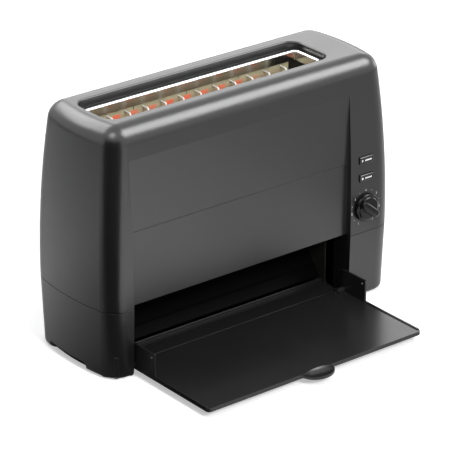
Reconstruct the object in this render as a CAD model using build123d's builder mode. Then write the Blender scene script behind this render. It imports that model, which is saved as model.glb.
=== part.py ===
from build123d import *
import os
from math import cos, radians, sin

# Toaster with a drop-through slot: bread goes in at the top, and the toast slides out onto a tray.
# Millimetres. +X is to the right seen from the front, +Y is to the back and +Z is up. The origin is on the
# table, under the middle of the whole object with its tray open.

# Casing
body_height = 258.6
split_height = 74.0
ground_gap = 1.5
wall = 2.8
end_bow = 8.0
top_radius = 19.5
lean_start = 90.0
face_lean = 8.8
end_lean = 11.0
corner_margin = 1.5
base_draft = 2.0
base_rounding = 4.0
split_groove = 0.8
groove_depth = 1.0
lip_height = 5.0
lip_thickness = 1.6
fit_gap = 0.15
part_gap = 0.4

# Flat of the top between the slot recess and the rounded shoulders
shoulder_ledge = 6.45
end_ledge = 2.25

# Front panel and outlet, between a narrow left column and a wide right column
right_column = 61.5
outlet_margin = 6.25
panel_depth_bottom = 7.0
panel_depth_crease = 6.8
panel_step = 0.7
panel_depth_top = 5.7
crease_height = 152.0
panel_top_drop = 24.6
pillar_depth = 26.0
outlet_passage = 31.0

# Feet and their arches in the end walls
arch_start = 40.5
arch_length = 64.0
arch_height = 7.5
arch_radius = 4.0
cover_height = 4.0
cover_thickness = 1.2
foot_radius = 7.0
foot_inset_x = 16.0
foot_inset_front = 22.0
foot_inset_back = 23.5
foot_stem_radius = 2.9
foot_stem_length = 4.0
foot_rounding = 1.0

# Toast slot and its bright frame
slot_length = 261.0
slot_width = 36.5
recess_depth = 8.4
recess_margin_x = 6.5
recess_margin_y = 12.0
recess_radius = 14.0
recess_lip = 1.8
frame_flange = 4.2
frame_thickness = 1.2
frame_skirt = 1.0
frame_drop = 8.0
frame_radius = 3.0

# Serving tray
tray_reach = 113.0
tray_thickness = 4.0
tray_underside = 7.5
tray_gap = 2.0
tray_corner = 4.0
ear_reach = 28.5
ear_height = 28.0
ear_thickness = 2.0
ear_rounding = 3.0
ear_hole_radius = 1.3
ear_hole_inset = 4.5
rim_height = 0.9
ear_depth = 6.5
tray_tail = 4.0
scoop_depth = 1.2
scoop_reach = 20.0
tab_reach = 14.0
tab_width = 36.0
tab_thickness = 2.8
tab_root = 3.0
tab_dip_half_length = 36.0
tab_dip_radius = 17.0
tab_dip_depth = 1.6
tab_dip_reach = 6.0

# Outlet sill: the fixed floor behind the tray, with a low lip along its back
sill_gap = 0.8
sill_depth = 39.0
sill_thickness = 2.5
sill_lip_height = 3.5
sill_lip_thickness = 2.0
sill_foot_thickness = 3.0

# Tray hinge
hinge_depth = 6.0
hinge_lift = 4.5
pin_radius = 1.75
pin_seat = 8.0
running_gap = 0.06
knuckle_radius = 4.0
knuckle_length = 10.0
pin_boss_wall = 2.4
lug_clearance = 0.5
lug_start = 4.4
lug_length = 4.0
tray_stop_height = 4.0
stop_gap = 0.3

# Toast chamber
sheet = 1.0
chamber_gap = 1.0
plate_margin = 2.0
plate_step_drop = 8.0
plate_foot = 9.0
board_distance = 10.5
board_thickness = 1.0
board_lift = 9.0
notch_count = 7
notch_width = 1.0
notch_depth = 7.0
reflector_distance = 15.0
reflector_drop = 7.0
ribbon_thickness = 0.4
ribbon_width = 5.0
ribbon_rows = 8
ribbon_margin = 9.7
wire_radius = 0.8
wire_count = 12
wire_drop = 16.0
wire_lift = 4.0
chute_rear_margin = 9.0
chute_drop = 28.0
chute_front = 41.0
chute_front_height = 16.0
chute_bead_rise = 8.0
chute_bead_radius = 1.2
fuse_radius = 2.2
fuse_length = 16.0
fuse_height = 150.0
clip_length = 7.0
clip_thickness = 1.0

# Bread gate, its crank and the solenoid
gate_height = 112.0
gate_margin = 4.5
gate_thickness = 1.2
gate_end_gap = 2.5
gate_opening = 60.0
barrel_radius = 4.0
shaft_radius = 2.5
bush_radius = 4.0
bush_length = 4.0
bush_flange_radius = 5.5
bush_flange = 1.0
crank_radius = 10.0
crank_thickness = 3.0
crank_hub = 5.5
crank_gap = 1.0
crank_pin_radius = 1.5
yoke_gap = 4.5
yoke_thickness = 5.0
yoke_half_width = 7.0
yoke_below = 5.0
yoke_above = 8.0
yoke_clearance = 0.4
plunger_radius = 4.0
plunger_clearance = 0.3
plunger_overlap = 22.0
coil_radius = 9.5
coil_length = 30.0
solenoid_sheet = 1.5
solenoid_width = 24.0
solenoid_lift = 27.0
spring_radius = 6.5
spring_wall = 1.2

# Controls in the right column
control_inset = 41.8
button_length = 18.0
button_height = 7.3
button_proud = 2.0
button_gap = 0.35
button_flange = 1.4
button_flange_thickness = 1.2
button_rounding = 0.6
button_stem = 4.0
button_travel = 1.2
switch_size = 6.0
switch_depth = 4.0
knob_lift = 26.9
knob_to_button = 33.2
button_pitch = 19.2
knob_radius = 15.0
knob_skirt = 3.5
knob_hub_radius = 11.5
knob_hub_height = 5.0
knob_grip_width = 9.0
knob_grip_height = 9.5
knob_grip_radius = 14.0
knob_gap = 0.8
knob_angle = -50.0
timer_shaft_radius = 3.0
timer_shaft_hole = 4.0
timer_width = 17.0
timer_depth = 8.0
timer_seat = 5.0
knob_seat = 7.0
board_depth = 18.0
control_board_thickness = 1.6
control_board_width = 36.0
control_board_lift = 3.0
control_board_length = 85.0
board_post_radius = 3.0
board_post_inset = 4.0
board_screw_radius = 1.25
board_screw_head = 2.4
board_screw_head_height = 1.6
board_screw_length = 8.0

# Power board in the base, and the mains inlet
power_board_width = 30.0
power_board_length = 68.0
power_board_lift = 6.0
power_board_front = 30.0
power_board_inset = 4.5
power_post_radius = 3.0
transformer_size = (28.0, 26.0, 24.0)
relay_size = (16.0, 20.0, 16.0)
terminal_size = (24.0, 12.0, 12.0)
component_margin = 2.4
gland_inset = 34.0
gland_height = 34.0
gland_radius = 8.0
gland_bore = 4.0
gland_flange_radius = 10.5
gland_flange = 2.0
gland_recess = 0.6

# Fasteners
screw_radius = 1.5
screw_hole = 1.8
screw_head_radius = 3.2
screw_head_height = 2.2
screw_spread = 21.0
boss_radius = 5.0
boss_height = 22.0
base_boss_height = 18.0
screw_bite = 12.0
cover_boss_radius = 4.5
cover_boss_height = 20.0
cover_screw_head = 1.8
cover_screw_inset = 64.0
chassis_screw_inset = 14.0
chassis_screw_length = 6.0

# Places worked out from the sizes above
corner_radius = top_radius + corner_margin
body_depth = slot_width + 2 * (recess_margin_y + shoulder_ledge + top_radius + face_lean)
left_column = recess_margin_x + end_ledge + top_radius + end_lean - outlet_margin
total_depth = body_depth + tray_reach + tab_reach
back_y = total_depth / 2
face_y = back_y - body_depth
mid_y = (face_y + back_y) / 2
body_width = left_column + slot_length + 2 * outlet_margin + right_column
half_width = body_width / 2
outlet_left = -half_width + left_column
outlet_right = half_width - right_column
outlet_x = (outlet_left + outlet_right) / 2
slot_x = outlet_x
slot_y = mid_y
slot_left = slot_x - slot_length / 2
slot_right = slot_x + slot_length / 2
panel_top = body_height - panel_top_drop
recess_floor = body_height - recess_depth
hinge_height = tray_underside + hinge_lift
lug_width = tray_gap - lug_clearance
chamber_top = recess_floor - frame_drop - chamber_gap
board_top = chamber_top - chamber_gap
board_bottom = gate_height + board_lift
plate_reach = slot_width / 2 + reflector_distance + sheet + plate_margin
plate_front = slot_y - plate_reach
plate_back = slot_y + plate_reach
cover_top = cover_height + cover_thickness
knob_height = split_height + knob_lift
stop_button_height = knob_height + knob_to_button
start_button_height = stop_button_height + button_pitch
control_board_bottom = split_height + lip_height + control_board_lift
control_board_top = control_board_bottom + control_board_length


def behind(depth):
    """Y of a plane that lies so far behind the column faces."""
    return face_y + depth


def block(low, high, mode=Mode.ADD):
    """Box between two opposite corners."""
    with Locations(tuple((a + b) / 2 for a, b in zip(low, high))):
        Box(*[b - a for a, b in zip(low, high)], mode=mode)


def round_bar(start, direction, length, radius, mode=Mode.ADD):
    """Cylinder from a start point along a direction."""
    with BuildSketch(Plane(origin=start, z_dir=direction)) as section:
        Circle(radius)
    extrude(section.sketch, amount=length, mode=mode)


def yz_extrusion(points, left, right, mode=Mode.ADD):
    """Straight-sided profile in Y and Z, carried along X from left to right."""
    with BuildSketch(Plane.YZ.offset(left)) as section:
        with BuildLine():
            Polyline(*points, close=True)
        make_face()
    extrude(section.sketch, amount=right - left, mode=mode)


def lean_at(level, top_lean):
    """How far a wall has leaned in at a height: none up to lean_start, then ever more."""
    return top_lean * (max(level - lean_start, 0) / (body_height - lean_start)) ** 2


def draft_at(level):
    """How far the base has drawn in at a height below the split."""
    return base_draft * max(split_height - level, 0) / (split_height - ground_gap)


def casing_plan(level, margin=0.0, plane_level=None):
    """Plan of the casing at a height, with bowed ends and round corners, drawn in by a margin."""
    draw_in = margin + draft_at(level)
    half = half_width - lean_at(level, end_lean) - draw_in
    front = face_y + lean_at(level, face_lean) + draw_in
    back = back_y - lean_at(level, face_lean) - draw_in
    corner = half - end_bow
    with BuildSketch(Plane.XY.offset(level if plane_level is None else plane_level)) as plan:
        with BuildLine():
            Line((-corner, front), (corner, front))
            ThreePointArc((corner, front), (half, mid_y), (corner, back))
            Line((corner, back), (-corner, back))
            ThreePointArc((-corner, back), (-half, mid_y), (-corner, front))
        make_face()
        fillet(plan.vertices(), corner_radius - margin)
    return plan.sketch


def end_x_at(y):
    """Half width of the casing's widest plan at a distance from front to back."""
    return half_width - end_bow * ((y - mid_y) / (body_depth / 2)) ** 2


housing_levels = [split_height + share * (body_height - split_height) for share in (0.0, 0.35, 0.67)]

# Front of the panel in Y and Z: sloping in towards its bottom edge, with a small step at the crease
panel_line = [
    (behind(panel_depth_bottom), split_height),
    (behind(panel_depth_crease), crease_height - panel_step),
    (behind(panel_depth_crease - panel_step), crease_height),
    (behind(panel_depth_top), panel_top),
]
panel_slope = (panel_depth_top - panel_depth_crease + panel_step) / (panel_top - crease_height)
panel_end = (behind(panel_depth_top + panel_slope * top_radius), panel_top + top_radius)
front_of_all = face_y - top_radius
recess_profile = [
    (front_of_all, 0.0),
    (behind(panel_depth_bottom), 0.0),
    *panel_line,
    panel_end,
    (front_of_all, panel_end[1]),
]
panel_back_profile = [(y + wall, z) if y > front_of_all else (y, z) for y, z in recess_profile]

# Upper housing: hollow inside
with BuildPart() as housing_cavity:
    inner_levels = [*housing_levels, body_height - wall]
    loft([casing_plan(level, wall) for level in inner_levels])
    extrude(casing_plan(split_height, wall), amount=-top_radius)
    fillet(housing_cavity.faces().sort_by(Axis.Z)[-1].edges(), top_radius - wall)
    yz_extrusion(panel_back_profile, outlet_left - wall, outlet_right + wall, mode=Mode.SUBTRACT)
    with BuildSketch(Plane.XY.offset(recess_floor - wall)):
        with Locations((slot_x, slot_y)):
            RectangleRounded(
                slot_length + 2 * (recess_margin_x + wall),
                slot_width + 2 * (recess_margin_y + wall),
                recess_radius + wall,
            )
    extrude(amount=recess_depth + wall, mode=Mode.SUBTRACT)

control_x = half_width - control_inset
board_left = control_x - control_board_width / 2
board_right = control_x + control_board_width / 2
board_front = behind(board_depth)
board_posts = [
    (x, z)
    for x in (board_left + board_post_inset, board_right - board_post_inset)
    for z in (control_board_bottom + board_post_inset, control_board_top - board_post_inset)
]
housing_screw_places = [
    (side * (end_x_at(mid_y + step) - wall - boss_radius + fit_gap + groove_depth / 2), mid_y + step)
    for side in (-1, 1)
    for step in (-screw_spread, screw_spread)
]

with BuildPart() as upper_housing:
    loft([casing_plan(level) for level in [*housing_levels, body_height]])
    fillet(upper_housing.faces().sort_by(Axis.Z)[-1].edges(), top_radius)
    yz_extrusion(recess_profile, outlet_left, outlet_right, mode=Mode.SUBTRACT)
    with BuildSketch(Plane.XY.offset(recess_floor)):
        with Locations((slot_x, slot_y)):
            RectangleRounded(
                slot_length + 2 * recess_margin_x,
                slot_width + 2 * recess_margin_y,
                recess_radius,
            )
    extrude(amount=recess_depth, mode=Mode.SUBTRACT)
    fillet(upper_housing.faces().sort_by(Axis.Z)[-1].inner_wires()[0].edges(), recess_lip)
    add(housing_cavity.part, mode=Mode.SUBTRACT)
    with BuildSketch(Plane.XY.offset(recess_floor - 2 * wall)):
        with Locations((slot_x, slot_y)):
            RectangleRounded(
                slot_length + 2 * (frame_skirt + fit_gap),
                slot_width + 2 * (frame_skirt + fit_gap),
                frame_radius + frame_skirt + fit_gap,
            )
    extrude(amount=3 * wall, mode=Mode.SUBTRACT)
    for x, y in housing_screw_places:
        round_bar((x, y, split_height), (0, 0, 1), boss_height, boss_radius)
        round_bar((x, y, split_height), (0, 0, 1), screw_bite, screw_radius, mode=Mode.SUBTRACT)
    for x, z in board_posts:
        post_start = wall - fit_gap
        round_bar((x, behind(post_start), z), (0, 1, 0), board_depth - post_start, board_post_radius)
        round_bar(
            (x, board_front, z),
            (0, -1, 0),
            board_screw_length - control_board_thickness,
            board_screw_radius,
            mode=Mode.SUBTRACT,
        )
    for z in (start_button_height, stop_button_height):
        hole_x = button_length / 2 + button_gap
        hole_z = button_height / 2 + button_gap
        block(
            (control_x - hole_x, behind(-wall), z - hole_z),
            (control_x + hole_x, behind(2 * wall), z + hole_z),
            mode=Mode.SUBTRACT,
        )
    shaft_hole_start = (control_x, behind(-wall), knob_height)
    round_bar(shaft_hole_start, (0, 1, 0), 3 * wall, timer_shaft_hole, mode=Mode.SUBTRACT)
upper_housing.part.label = "upper_housing"

# Tray hinge line, and the tray's ends
hinge_y = behind(hinge_depth)
tray_left = outlet_left + tray_gap
tray_right = outlet_right - tray_gap
tray_top = tray_underside + tray_thickness
tray_front = face_y - tray_reach
tray_back = hinge_y + tray_tail
ear_back = behind(ear_depth)
hinge_ends = [(outlet_left, tray_left, 1), (outlet_right, tray_right, -1)]
pillar_wall_back = behind(pillar_depth)
rear_boss_y = back_y - base_draft - wall - screw_head_radius - part_gap
front_boss_y = behind(base_draft + wall + screw_head_radius + part_gap)
left_pillar_x = outlet_left - left_column / 2
cover_screw_places = [
    (cover_screw_inset - half_width, rear_boss_y),
    (half_width - cover_screw_inset, rear_boss_y),
    (left_pillar_x, front_boss_y),
    (control_x, front_boss_y),
]
gland_x = half_width - gland_inset
base_rim = split_height - split_groove

# Base housing: a drafted ring with two pillars beside the outlet
with BuildPart() as base_hollow:
    loft([casing_plan(ground_gap, wall), casing_plan(split_height, wall)], ruled=True)

with BuildPart() as base_lip:
    lip_start = split_height - lip_height
    lip_inside = wall + fit_gap + lip_thickness
    extrude(casing_plan(split_height, wall + fit_gap, plane_level=lip_start), amount=2 * lip_height)
    extrude(
        casing_plan(split_height, lip_inside, plane_level=lip_start),
        amount=2 * lip_height,
        mode=Mode.SUBTRACT,
    )
    block(
        (outlet_left - 2 * wall, front_of_all, 0),
        (outlet_right + 2 * wall, behind(panel_depth_bottom + 3 * wall), body_height),
        mode=Mode.SUBTRACT,
    )
    for x, y in housing_screw_places:
        round_bar((x, y, split_height), (0, 0, 1), lip_height, boss_radius + part_gap, mode=Mode.SUBTRACT)

with BuildPart() as base_housing:
    loft([casing_plan(ground_gap), casing_plan(base_rim)], ruled=True)
    fillet(base_housing.faces().sort_by(Axis.Z)[0].edges(), base_rounding)
    extrude(casing_plan(split_height, groove_depth, plane_level=base_rim), amount=split_groove)
    add(base_hollow.part, mode=Mode.SUBTRACT)
    block(
        (outlet_left, front_of_all, 0),
        (outlet_right, behind(2 * wall), body_height),
        mode=Mode.SUBTRACT,
    )
    add(base_lip.part)
    for pillar_x, _, inward in hinge_ends:
        inner_x = pillar_x - inward * wall
        low_x = min(pillar_x, inner_x)
        high_x = max(pillar_x, inner_x)
        block((low_x, behind(wall / 2 + base_draft), ground_gap), (high_x, pillar_wall_back, split_height))
        pin_start = (pillar_x, hinge_y, hinge_height)
        boss_length = pin_seat + pin_boss_wall
        round_bar(pin_start, (-inward, 0, 0), boss_length, pin_radius + pin_boss_wall)
        round_bar(pin_start, (-inward, 0, 0), pin_seat, pin_radius, mode=Mode.SUBTRACT)
        stop_end = pillar_x + inward * lug_width
        stop_bottom = hinge_height + lug_length / 2 + stop_gap
        block(
            (min(pillar_x, stop_end), hinge_y + lug_start, stop_bottom),
            (max(pillar_x, stop_end), hinge_y + lug_start + lug_length, stop_bottom + tray_stop_height),
        )
    with BuildSketch(Plane.YZ):
        with Locations((behind(arch_start + arch_length / 2), ground_gap)):
            RectangleRounded(arch_length, 2 * arch_height, arch_radius)
    extrude(amount=body_width, both=True, mode=Mode.SUBTRACT)
    for x, y in housing_screw_places:
        round_bar((x, y, split_height), (0, 0, -1), base_boss_height, boss_radius)
        round_bar((x, y, split_height), (0, 0, -1), base_boss_height, screw_hole, mode=Mode.SUBTRACT)
    for x, y in cover_screw_places:
        round_bar((x, y, cover_top), (0, 0, 1), cover_boss_height, cover_boss_radius)
        round_bar((x, y, cover_top), (0, 0, 1), screw_bite, screw_radius, mode=Mode.SUBTRACT)
    gland_start = (gland_x, back_y + wall, gland_height)
    round_bar(gland_start, (0, -1, 0), 4 * wall, gland_radius + fit_gap, mode=Mode.SUBTRACT)
base_housing.part.label = "base_housing"

# Bottom cover, with its posts for the power board
foot_places = [
    (side * (half_width - foot_inset_x), y)
    for side in (-1, 1)
    for y in (behind(foot_inset_front), back_y - foot_inset_back)
]
plate_spots = {"left_end_plate": (slot_left - sheet, -1), "right_end_plate": (slot_right, 1)}
chassis_screw_places = [
    (low_x + sheet / 2 + outward * (sheet + plate_foot) / 2, y)
    for low_x, outward in plate_spots.values()
    for y in (behind(outlet_passage + chassis_screw_inset), plate_back - chassis_screw_inset)
]
power_right = half_width - end_bow - power_board_inset
power_left = power_right - power_board_width
power_front = behind(power_board_front)
power_back = power_front + power_board_length
power_level = cover_top + power_board_lift
power_posts = [
    (x, y)
    for x in (power_left + board_post_inset, power_right - board_post_inset)
    for y in (power_front + board_post_inset, power_back - board_post_inset)
]
with BuildPart() as bottom_cover:
    extrude(casing_plan(ground_gap, wall + part_gap, plane_level=cover_height), amount=cover_thickness)
    block(
        (outlet_left - wall - part_gap, front_of_all, 0),
        (outlet_right + wall + part_gap, behind(outlet_passage), body_height),
        mode=Mode.SUBTRACT,
    )
    for x, y in foot_places:
        round_bar((x, y, cover_height), (0, 0, 1), cover_thickness, foot_stem_radius, mode=Mode.SUBTRACT)
    for x, y in cover_screw_places:
        round_bar((x, y, cover_height), (0, 0, 1), cover_thickness, screw_hole, mode=Mode.SUBTRACT)
    for x, y in power_posts:
        round_bar((x, y, cover_height), (0, 0, 1), cover_thickness + power_board_lift, power_post_radius)
        round_bar((x, y, power_level), (0, 0, -1), power_board_lift, board_screw_radius, mode=Mode.SUBTRACT)
    for x, y in chassis_screw_places:
        round_bar((x, y, cover_height), (0, 0, 1), cover_thickness, screw_radius, mode=Mode.SUBTRACT)
bottom_cover.part.label = "bottom_cover"

with BuildPart() as rubber_feet:
    for x, y in foot_places:
        round_bar((x, y, 0), (0, 0, 1), cover_height, foot_radius)
    fillet(rubber_feet.edges().group_by(Axis.Z)[0], foot_rounding)
    for x, y in foot_places:
        round_bar((x, y, cover_height), (0, 0, 1), foot_stem_length, foot_stem_radius)
rubber_feet.part.label = "rubber_feet"

with BuildPart() as housing_screws:
    screw_seat = split_height - base_boss_height
    for x, y in housing_screw_places:
        round_bar((x, y, screw_seat), (0, 0, -1), screw_head_height, screw_head_radius)
        round_bar((x, y, screw_seat), (0, 0, 1), base_boss_height + screw_bite, screw_radius)
housing_screws.part.label = "housing_screws"

with BuildPart() as cover_screws:
    for x, y in cover_screw_places:
        round_bar((x, y, cover_height), (0, 0, -1), cover_screw_head, screw_head_radius)
        round_bar((x, y, cover_height), (0, 0, 1), cover_thickness + screw_bite, screw_radius)
cover_screws.part.label = "cover_screws"

# Slot frame: a bright flange on the recess floor with a skirt through the housing
with BuildPart() as slot_frame:
    with BuildSketch(Plane.XY.offset(recess_floor)):
        with Locations((slot_x, slot_y)):
            RectangleRounded(
                slot_length + 2 * frame_flange,
                slot_width + 2 * frame_flange,
                frame_radius + frame_flange,
            )
    extrude(amount=frame_thickness)
    with BuildSketch(Plane.XY.offset(recess_floor)):
        with Locations((slot_x, slot_y)):
            RectangleRounded(
                slot_length + 2 * frame_skirt,
                slot_width + 2 * frame_skirt,
                frame_radius + frame_skirt,
            )
    extrude(amount=-frame_drop)
    with BuildSketch(Plane.XY.offset(recess_floor - frame_drop)):
        with Locations((slot_x, slot_y)):
            RectangleRounded(slot_length, slot_width, frame_radius)
    extrude(amount=frame_drop + frame_thickness, mode=Mode.SUBTRACT)
slot_frame.part.label = "slot_frame"

# Serving tray: floor, ears, low side rims, a shallow scoop and a finger tab
scoop_radius = ((tray_right - tray_left) / 2) ** 2 / (2 * scoop_depth)
scoop_slope = scoop_depth / scoop_reach
with BuildPart() as serving_tray:
    with BuildSketch(Plane.XY.offset(tray_underside)) as tray_floor:
        with BuildLine():
            Polyline(
                (tray_left, tray_front),
                (tray_right, tray_front),
                (tray_right, tray_back),
                (tray_left, tray_back),
                close=True,
            )
        make_face()
        fillet(tray_floor.vertices().group_by(Axis.Y)[0], tray_corner)
    extrude(amount=tray_thickness)
    with Locations(
        Plane(
            origin=(outlet_x, tray_front, tray_top - scoop_depth + scoop_radius),
            z_dir=(0, 1, scoop_slope),
        )
    ):
        Cylinder(scoop_radius, 4 * scoop_reach, mode=Mode.SUBTRACT)
    for _, end_x, inward in hinge_ends:
        with BuildSketch(Plane.YZ.offset(end_x)) as ear:
            with BuildLine():
                Polyline(
                    (face_y - ear_reach, tray_underside),
                    (ear_back, tray_underside),
                    (ear_back, tray_underside + ear_height),
                    (face_y - ear_reach, tray_underside + ear_height),
                    close=True,
                )
            make_face()
            fillet(ear.vertices().group_by(Axis.Y)[0].sort_by(Axis.Z)[-1:], ear_rounding)
        extrude(amount=inward * ear_thickness)
        rim_end = end_x + inward * ear_thickness
        block(
            (min(end_x, rim_end), tray_front + tray_corner, tray_underside),
            (max(end_x, rim_end), face_y - ear_reach, tray_top + rim_height),
        )
        hole_y = face_y - ear_reach + ear_hole_inset
        hole_z = tray_underside + ear_height - ear_hole_inset
        round_bar((end_x, hole_y, hole_z), (inward, 0, 0), ear_thickness, ear_hole_radius, mode=Mode.SUBTRACT)
        round_bar((end_x, hinge_y, hinge_height), (inward, 0, 0), knuckle_length, knuckle_radius)
        round_bar((end_x, hinge_y, hinge_height), (-inward, 0, 0), lug_width, knuckle_radius)
        lug_end = end_x - inward * lug_width
        block(
            (min(end_x, lug_end), hinge_y, hinge_height - lug_length / 2),
            (max(end_x, lug_end), hinge_y + lug_start + lug_length, hinge_height + lug_length / 2),
        )
        round_bar(
            (end_x - inward * lug_width, hinge_y, hinge_height),
            (inward, 0, 0),
            lug_width + knuckle_length,
            pin_radius + running_gap,
            mode=Mode.SUBTRACT,
        )
    with BuildSketch(Plane.XY.offset(tray_underside)) as tongue:
        with Locations((outlet_x, tray_front)):
            Ellipse(tab_width / 2, tab_reach)
        with Locations((outlet_x, tray_front + tray_corner)):
            Rectangle(2 * tab_width, 2 * tray_corner)
        root_reach = 0.75 * tab_width
        roots = tongue.vertices().filter_by_position(Axis.X, outlet_x - root_reach, outlet_x + root_reach)
        fillet(roots, tab_root)
    extrude(amount=tab_thickness)
    dip_centre = (
        outlet_x,
        tray_front - tab_dip_reach,
        tray_underside + tab_thickness - tab_dip_depth + tab_dip_radius,
    )
    with BuildSketch(Plane(origin=dip_centre, x_dir=(1, 0, 0), z_dir=(0, -1, 0))):
        Ellipse(tab_dip_half_length, tab_dip_radius)
        with Locations((0, tab_dip_radius)):
            Rectangle(2 * tab_dip_half_length, 2 * tab_dip_radius, mode=Mode.SUBTRACT)
    revolve(axis=Axis(dip_centre, (1, 0, 0)), mode=Mode.SUBTRACT)
serving_tray.part.label = "serving_tray"

with BuildPart() as hinge_pins:
    for pillar_x, end_x, inward in hinge_ends:
        round_bar(
            (pillar_x - inward * pin_seat, hinge_y, hinge_height),
            (inward, 0, 0),
            pin_seat + tray_gap + knuckle_length,
            pin_radius,
        )
hinge_pins.part.label = "hinge_pins"

# Outlet sill, held between the end plates, with a foot on the bottom cover
sill_back = behind(sill_depth)
with BuildPart() as outlet_sill:
    block((slot_left, tray_back + sill_gap, tray_top - sill_thickness), (slot_right, sill_back, tray_top))
    block(
        (slot_left, sill_back - sill_lip_thickness, tray_top),
        (slot_right, sill_back, tray_top + sill_lip_height),
    )
    lip_edges = outlet_sill.edges().filter_by(Axis.X).group_by(Axis.Z)[-1]
    fillet(lip_edges, sill_lip_thickness / 4)
    block(
        (slot_left, sill_back - sill_foot_thickness, cover_top),
        (slot_right, sill_back, tray_top - sill_thickness),
    )
outlet_sill.part.label = "outlet_sill"

# Toast chamber: two upright end plates, reflectors, boards, ribbons and guard wires
gate_y = slot_y + slot_width / 2 + gate_margin
bush_spots = [(slot_left - sheet, -1), (slot_right + sheet, 1)]


def end_plate(low_x, outward):
    """Upright chassis sheet with a foot, drawn into the current part."""
    step_height = gate_height - plate_step_drop
    yz_extrusion(
        [
            (plate_front, step_height),
            (behind(outlet_passage + sheet), step_height),
            (behind(outlet_passage + sheet), cover_top),
            (plate_back, cover_top),
            (plate_back, chamber_top),
            (plate_front, chamber_top),
        ],
        low_x,
        low_x + sheet,
    )
    foot_a = low_x + sheet / 2
    foot_b = foot_a + outward * (plate_foot + sheet / 2)
    block(
        (min(foot_a, foot_b), behind(outlet_passage + sheet), cover_top),
        (max(foot_a, foot_b), plate_back, cover_top + sheet),
    )
    round_bar((low_x, gate_y, gate_height), (1, 0, 0), sheet, bush_radius, mode=Mode.SUBTRACT)
    for x, y in chassis_screw_places:
        round_bar((x, y, cover_top), (0, 0, 1), sheet, screw_radius, mode=Mode.SUBTRACT)


with BuildPart() as left_end_plate:
    end_plate(*plate_spots["left_end_plate"])
left_end_plate.part.label = "left_end_plate"

with BuildPart() as right_end_plate:
    end_plate(*plate_spots["right_end_plate"])
right_end_plate.part.label = "right_end_plate"

with BuildPart() as chassis_screws:
    for x, y in chassis_screw_places:
        round_bar((x, y, cover_height), (0, 0, -1), cover_screw_head, screw_head_radius)
        round_bar((x, y, cover_height), (0, 0, 1), chassis_screw_length, screw_radius)
chassis_screws.part.label = "chassis_screws"


def chamber_sheet(side, distance, thickness, bottom, top):
    """Flat sheet on one side of the slot, from end plate to end plate; side is -1 in front, 1 behind."""
    near = slot_y + side * (slot_width / 2 + distance)
    far = near + side * thickness
    block((slot_left, min(near, far), bottom), (slot_right, max(near, far), top))


with BuildPart() as front_reflector:
    chamber_sheet(-1, reflector_distance, sheet, gate_height - reflector_drop, chamber_top)
front_reflector.part.label = "front_reflector"

with BuildPart() as rear_reflector:
    chamber_sheet(1, reflector_distance, sheet, gate_height - reflector_drop, chamber_top)
rear_reflector.part.label = "rear_reflector"


def mica_board(side):
    """Heater board with narrow notches in its top edge."""
    chamber_sheet(side, board_distance, board_thickness, board_bottom, board_top)
    board_y = slot_y + side * (slot_width / 2 + board_distance + board_thickness / 2)
    pitch = slot_length / (notch_count + 1)
    for number in range(1, notch_count + 1):
        x = slot_left + number * pitch
        block(
            (x - notch_width / 2, board_y - board_thickness, board_top - notch_depth),
            (x + notch_width / 2, board_y + board_thickness, board_top),
            mode=Mode.SUBTRACT,
        )


with BuildPart() as front_mica_board:
    mica_board(-1)
front_mica_board.part.label = "front_mica_board"

with BuildPart() as rear_mica_board:
    mica_board(1)
rear_mica_board.part.label = "rear_mica_board"


def heating_ribbon(side):
    """Flat strip that runs to and fro over a board in one unbroken line."""
    board_face = slot_y + side * (slot_width / 2 + board_distance)
    inner_face = board_face - side * ribbon_thickness
    low_x = slot_left + ribbon_margin
    high_x = slot_right - ribbon_margin
    pitch = (board_top - board_bottom - 2 * ribbon_margin) / (ribbon_rows - 1)
    low_y = min(board_face, inner_face)
    high_y = max(board_face, inner_face)
    half = ribbon_width / 2
    for row in range(ribbon_rows):
        z = board_bottom + ribbon_margin + row * pitch
        block((low_x, low_y, z - half), (high_x, high_y, z + half))
        if row < ribbon_rows - 1:
            turn_x = high_x - half if row % 2 == 0 else low_x + half
            block((turn_x - half, low_y, z - half), (turn_x + half, high_y, z + pitch + half))


with BuildPart() as front_heating_ribbon:
    heating_ribbon(-1)
front_heating_ribbon.part.label = "front_heating_ribbon"

with BuildPart() as rear_heating_ribbon:
    heating_ribbon(1)
rear_heating_ribbon.part.label = "rear_heating_ribbon"


def guard_wires(side):
    """Row of staple-shaped wires between the slot and a board, with their ends on the board."""
    wire_y = slot_y + side * (slot_width / 2 + wire_radius)
    board_face = slot_y + side * (slot_width / 2 + board_distance)
    wire_top = recess_floor - wire_drop
    wire_bottom = board_bottom + wire_lift
    pitch = slot_length / wire_count
    for number in range(wire_count):
        x = slot_left + (number + 0.5) * pitch
        with BuildLine() as route:
            FilletPolyline(
                (x, board_face, wire_top),
                (x, wire_y, wire_top),
                (x, wire_y, wire_bottom),
                (x, board_face, wire_bottom),
                radius=3 * wire_radius,
            )
        with BuildSketch(Plane(origin=route.line @ 0, z_dir=route.line % 0)) as section:
            Circle(wire_radius)
        sweep(section.sketch, path=route.line)


with BuildPart() as front_guard_wires:
    guard_wires(-1)
front_guard_wires.part.label = "front_guard_wires"

with BuildPart() as rear_guard_wires:
    guard_wires(1)
rear_guard_wires.part.label = "rear_guard_wires"

# Chute: a sloping sheet from below the rear of the gate to the sill, stiffened by a bead
chute_rear = gate_y - face_y + chute_rear_margin
chute_slope = (gate_height - chute_drop - chute_front_height) / (chute_rear - chute_front)
chute_bead_depth = chute_front + chute_bead_rise


def chute_height(depth):
    """Underside of the chute at a depth behind the column faces."""
    return chute_front_height + chute_slope * (depth - chute_front)


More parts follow.
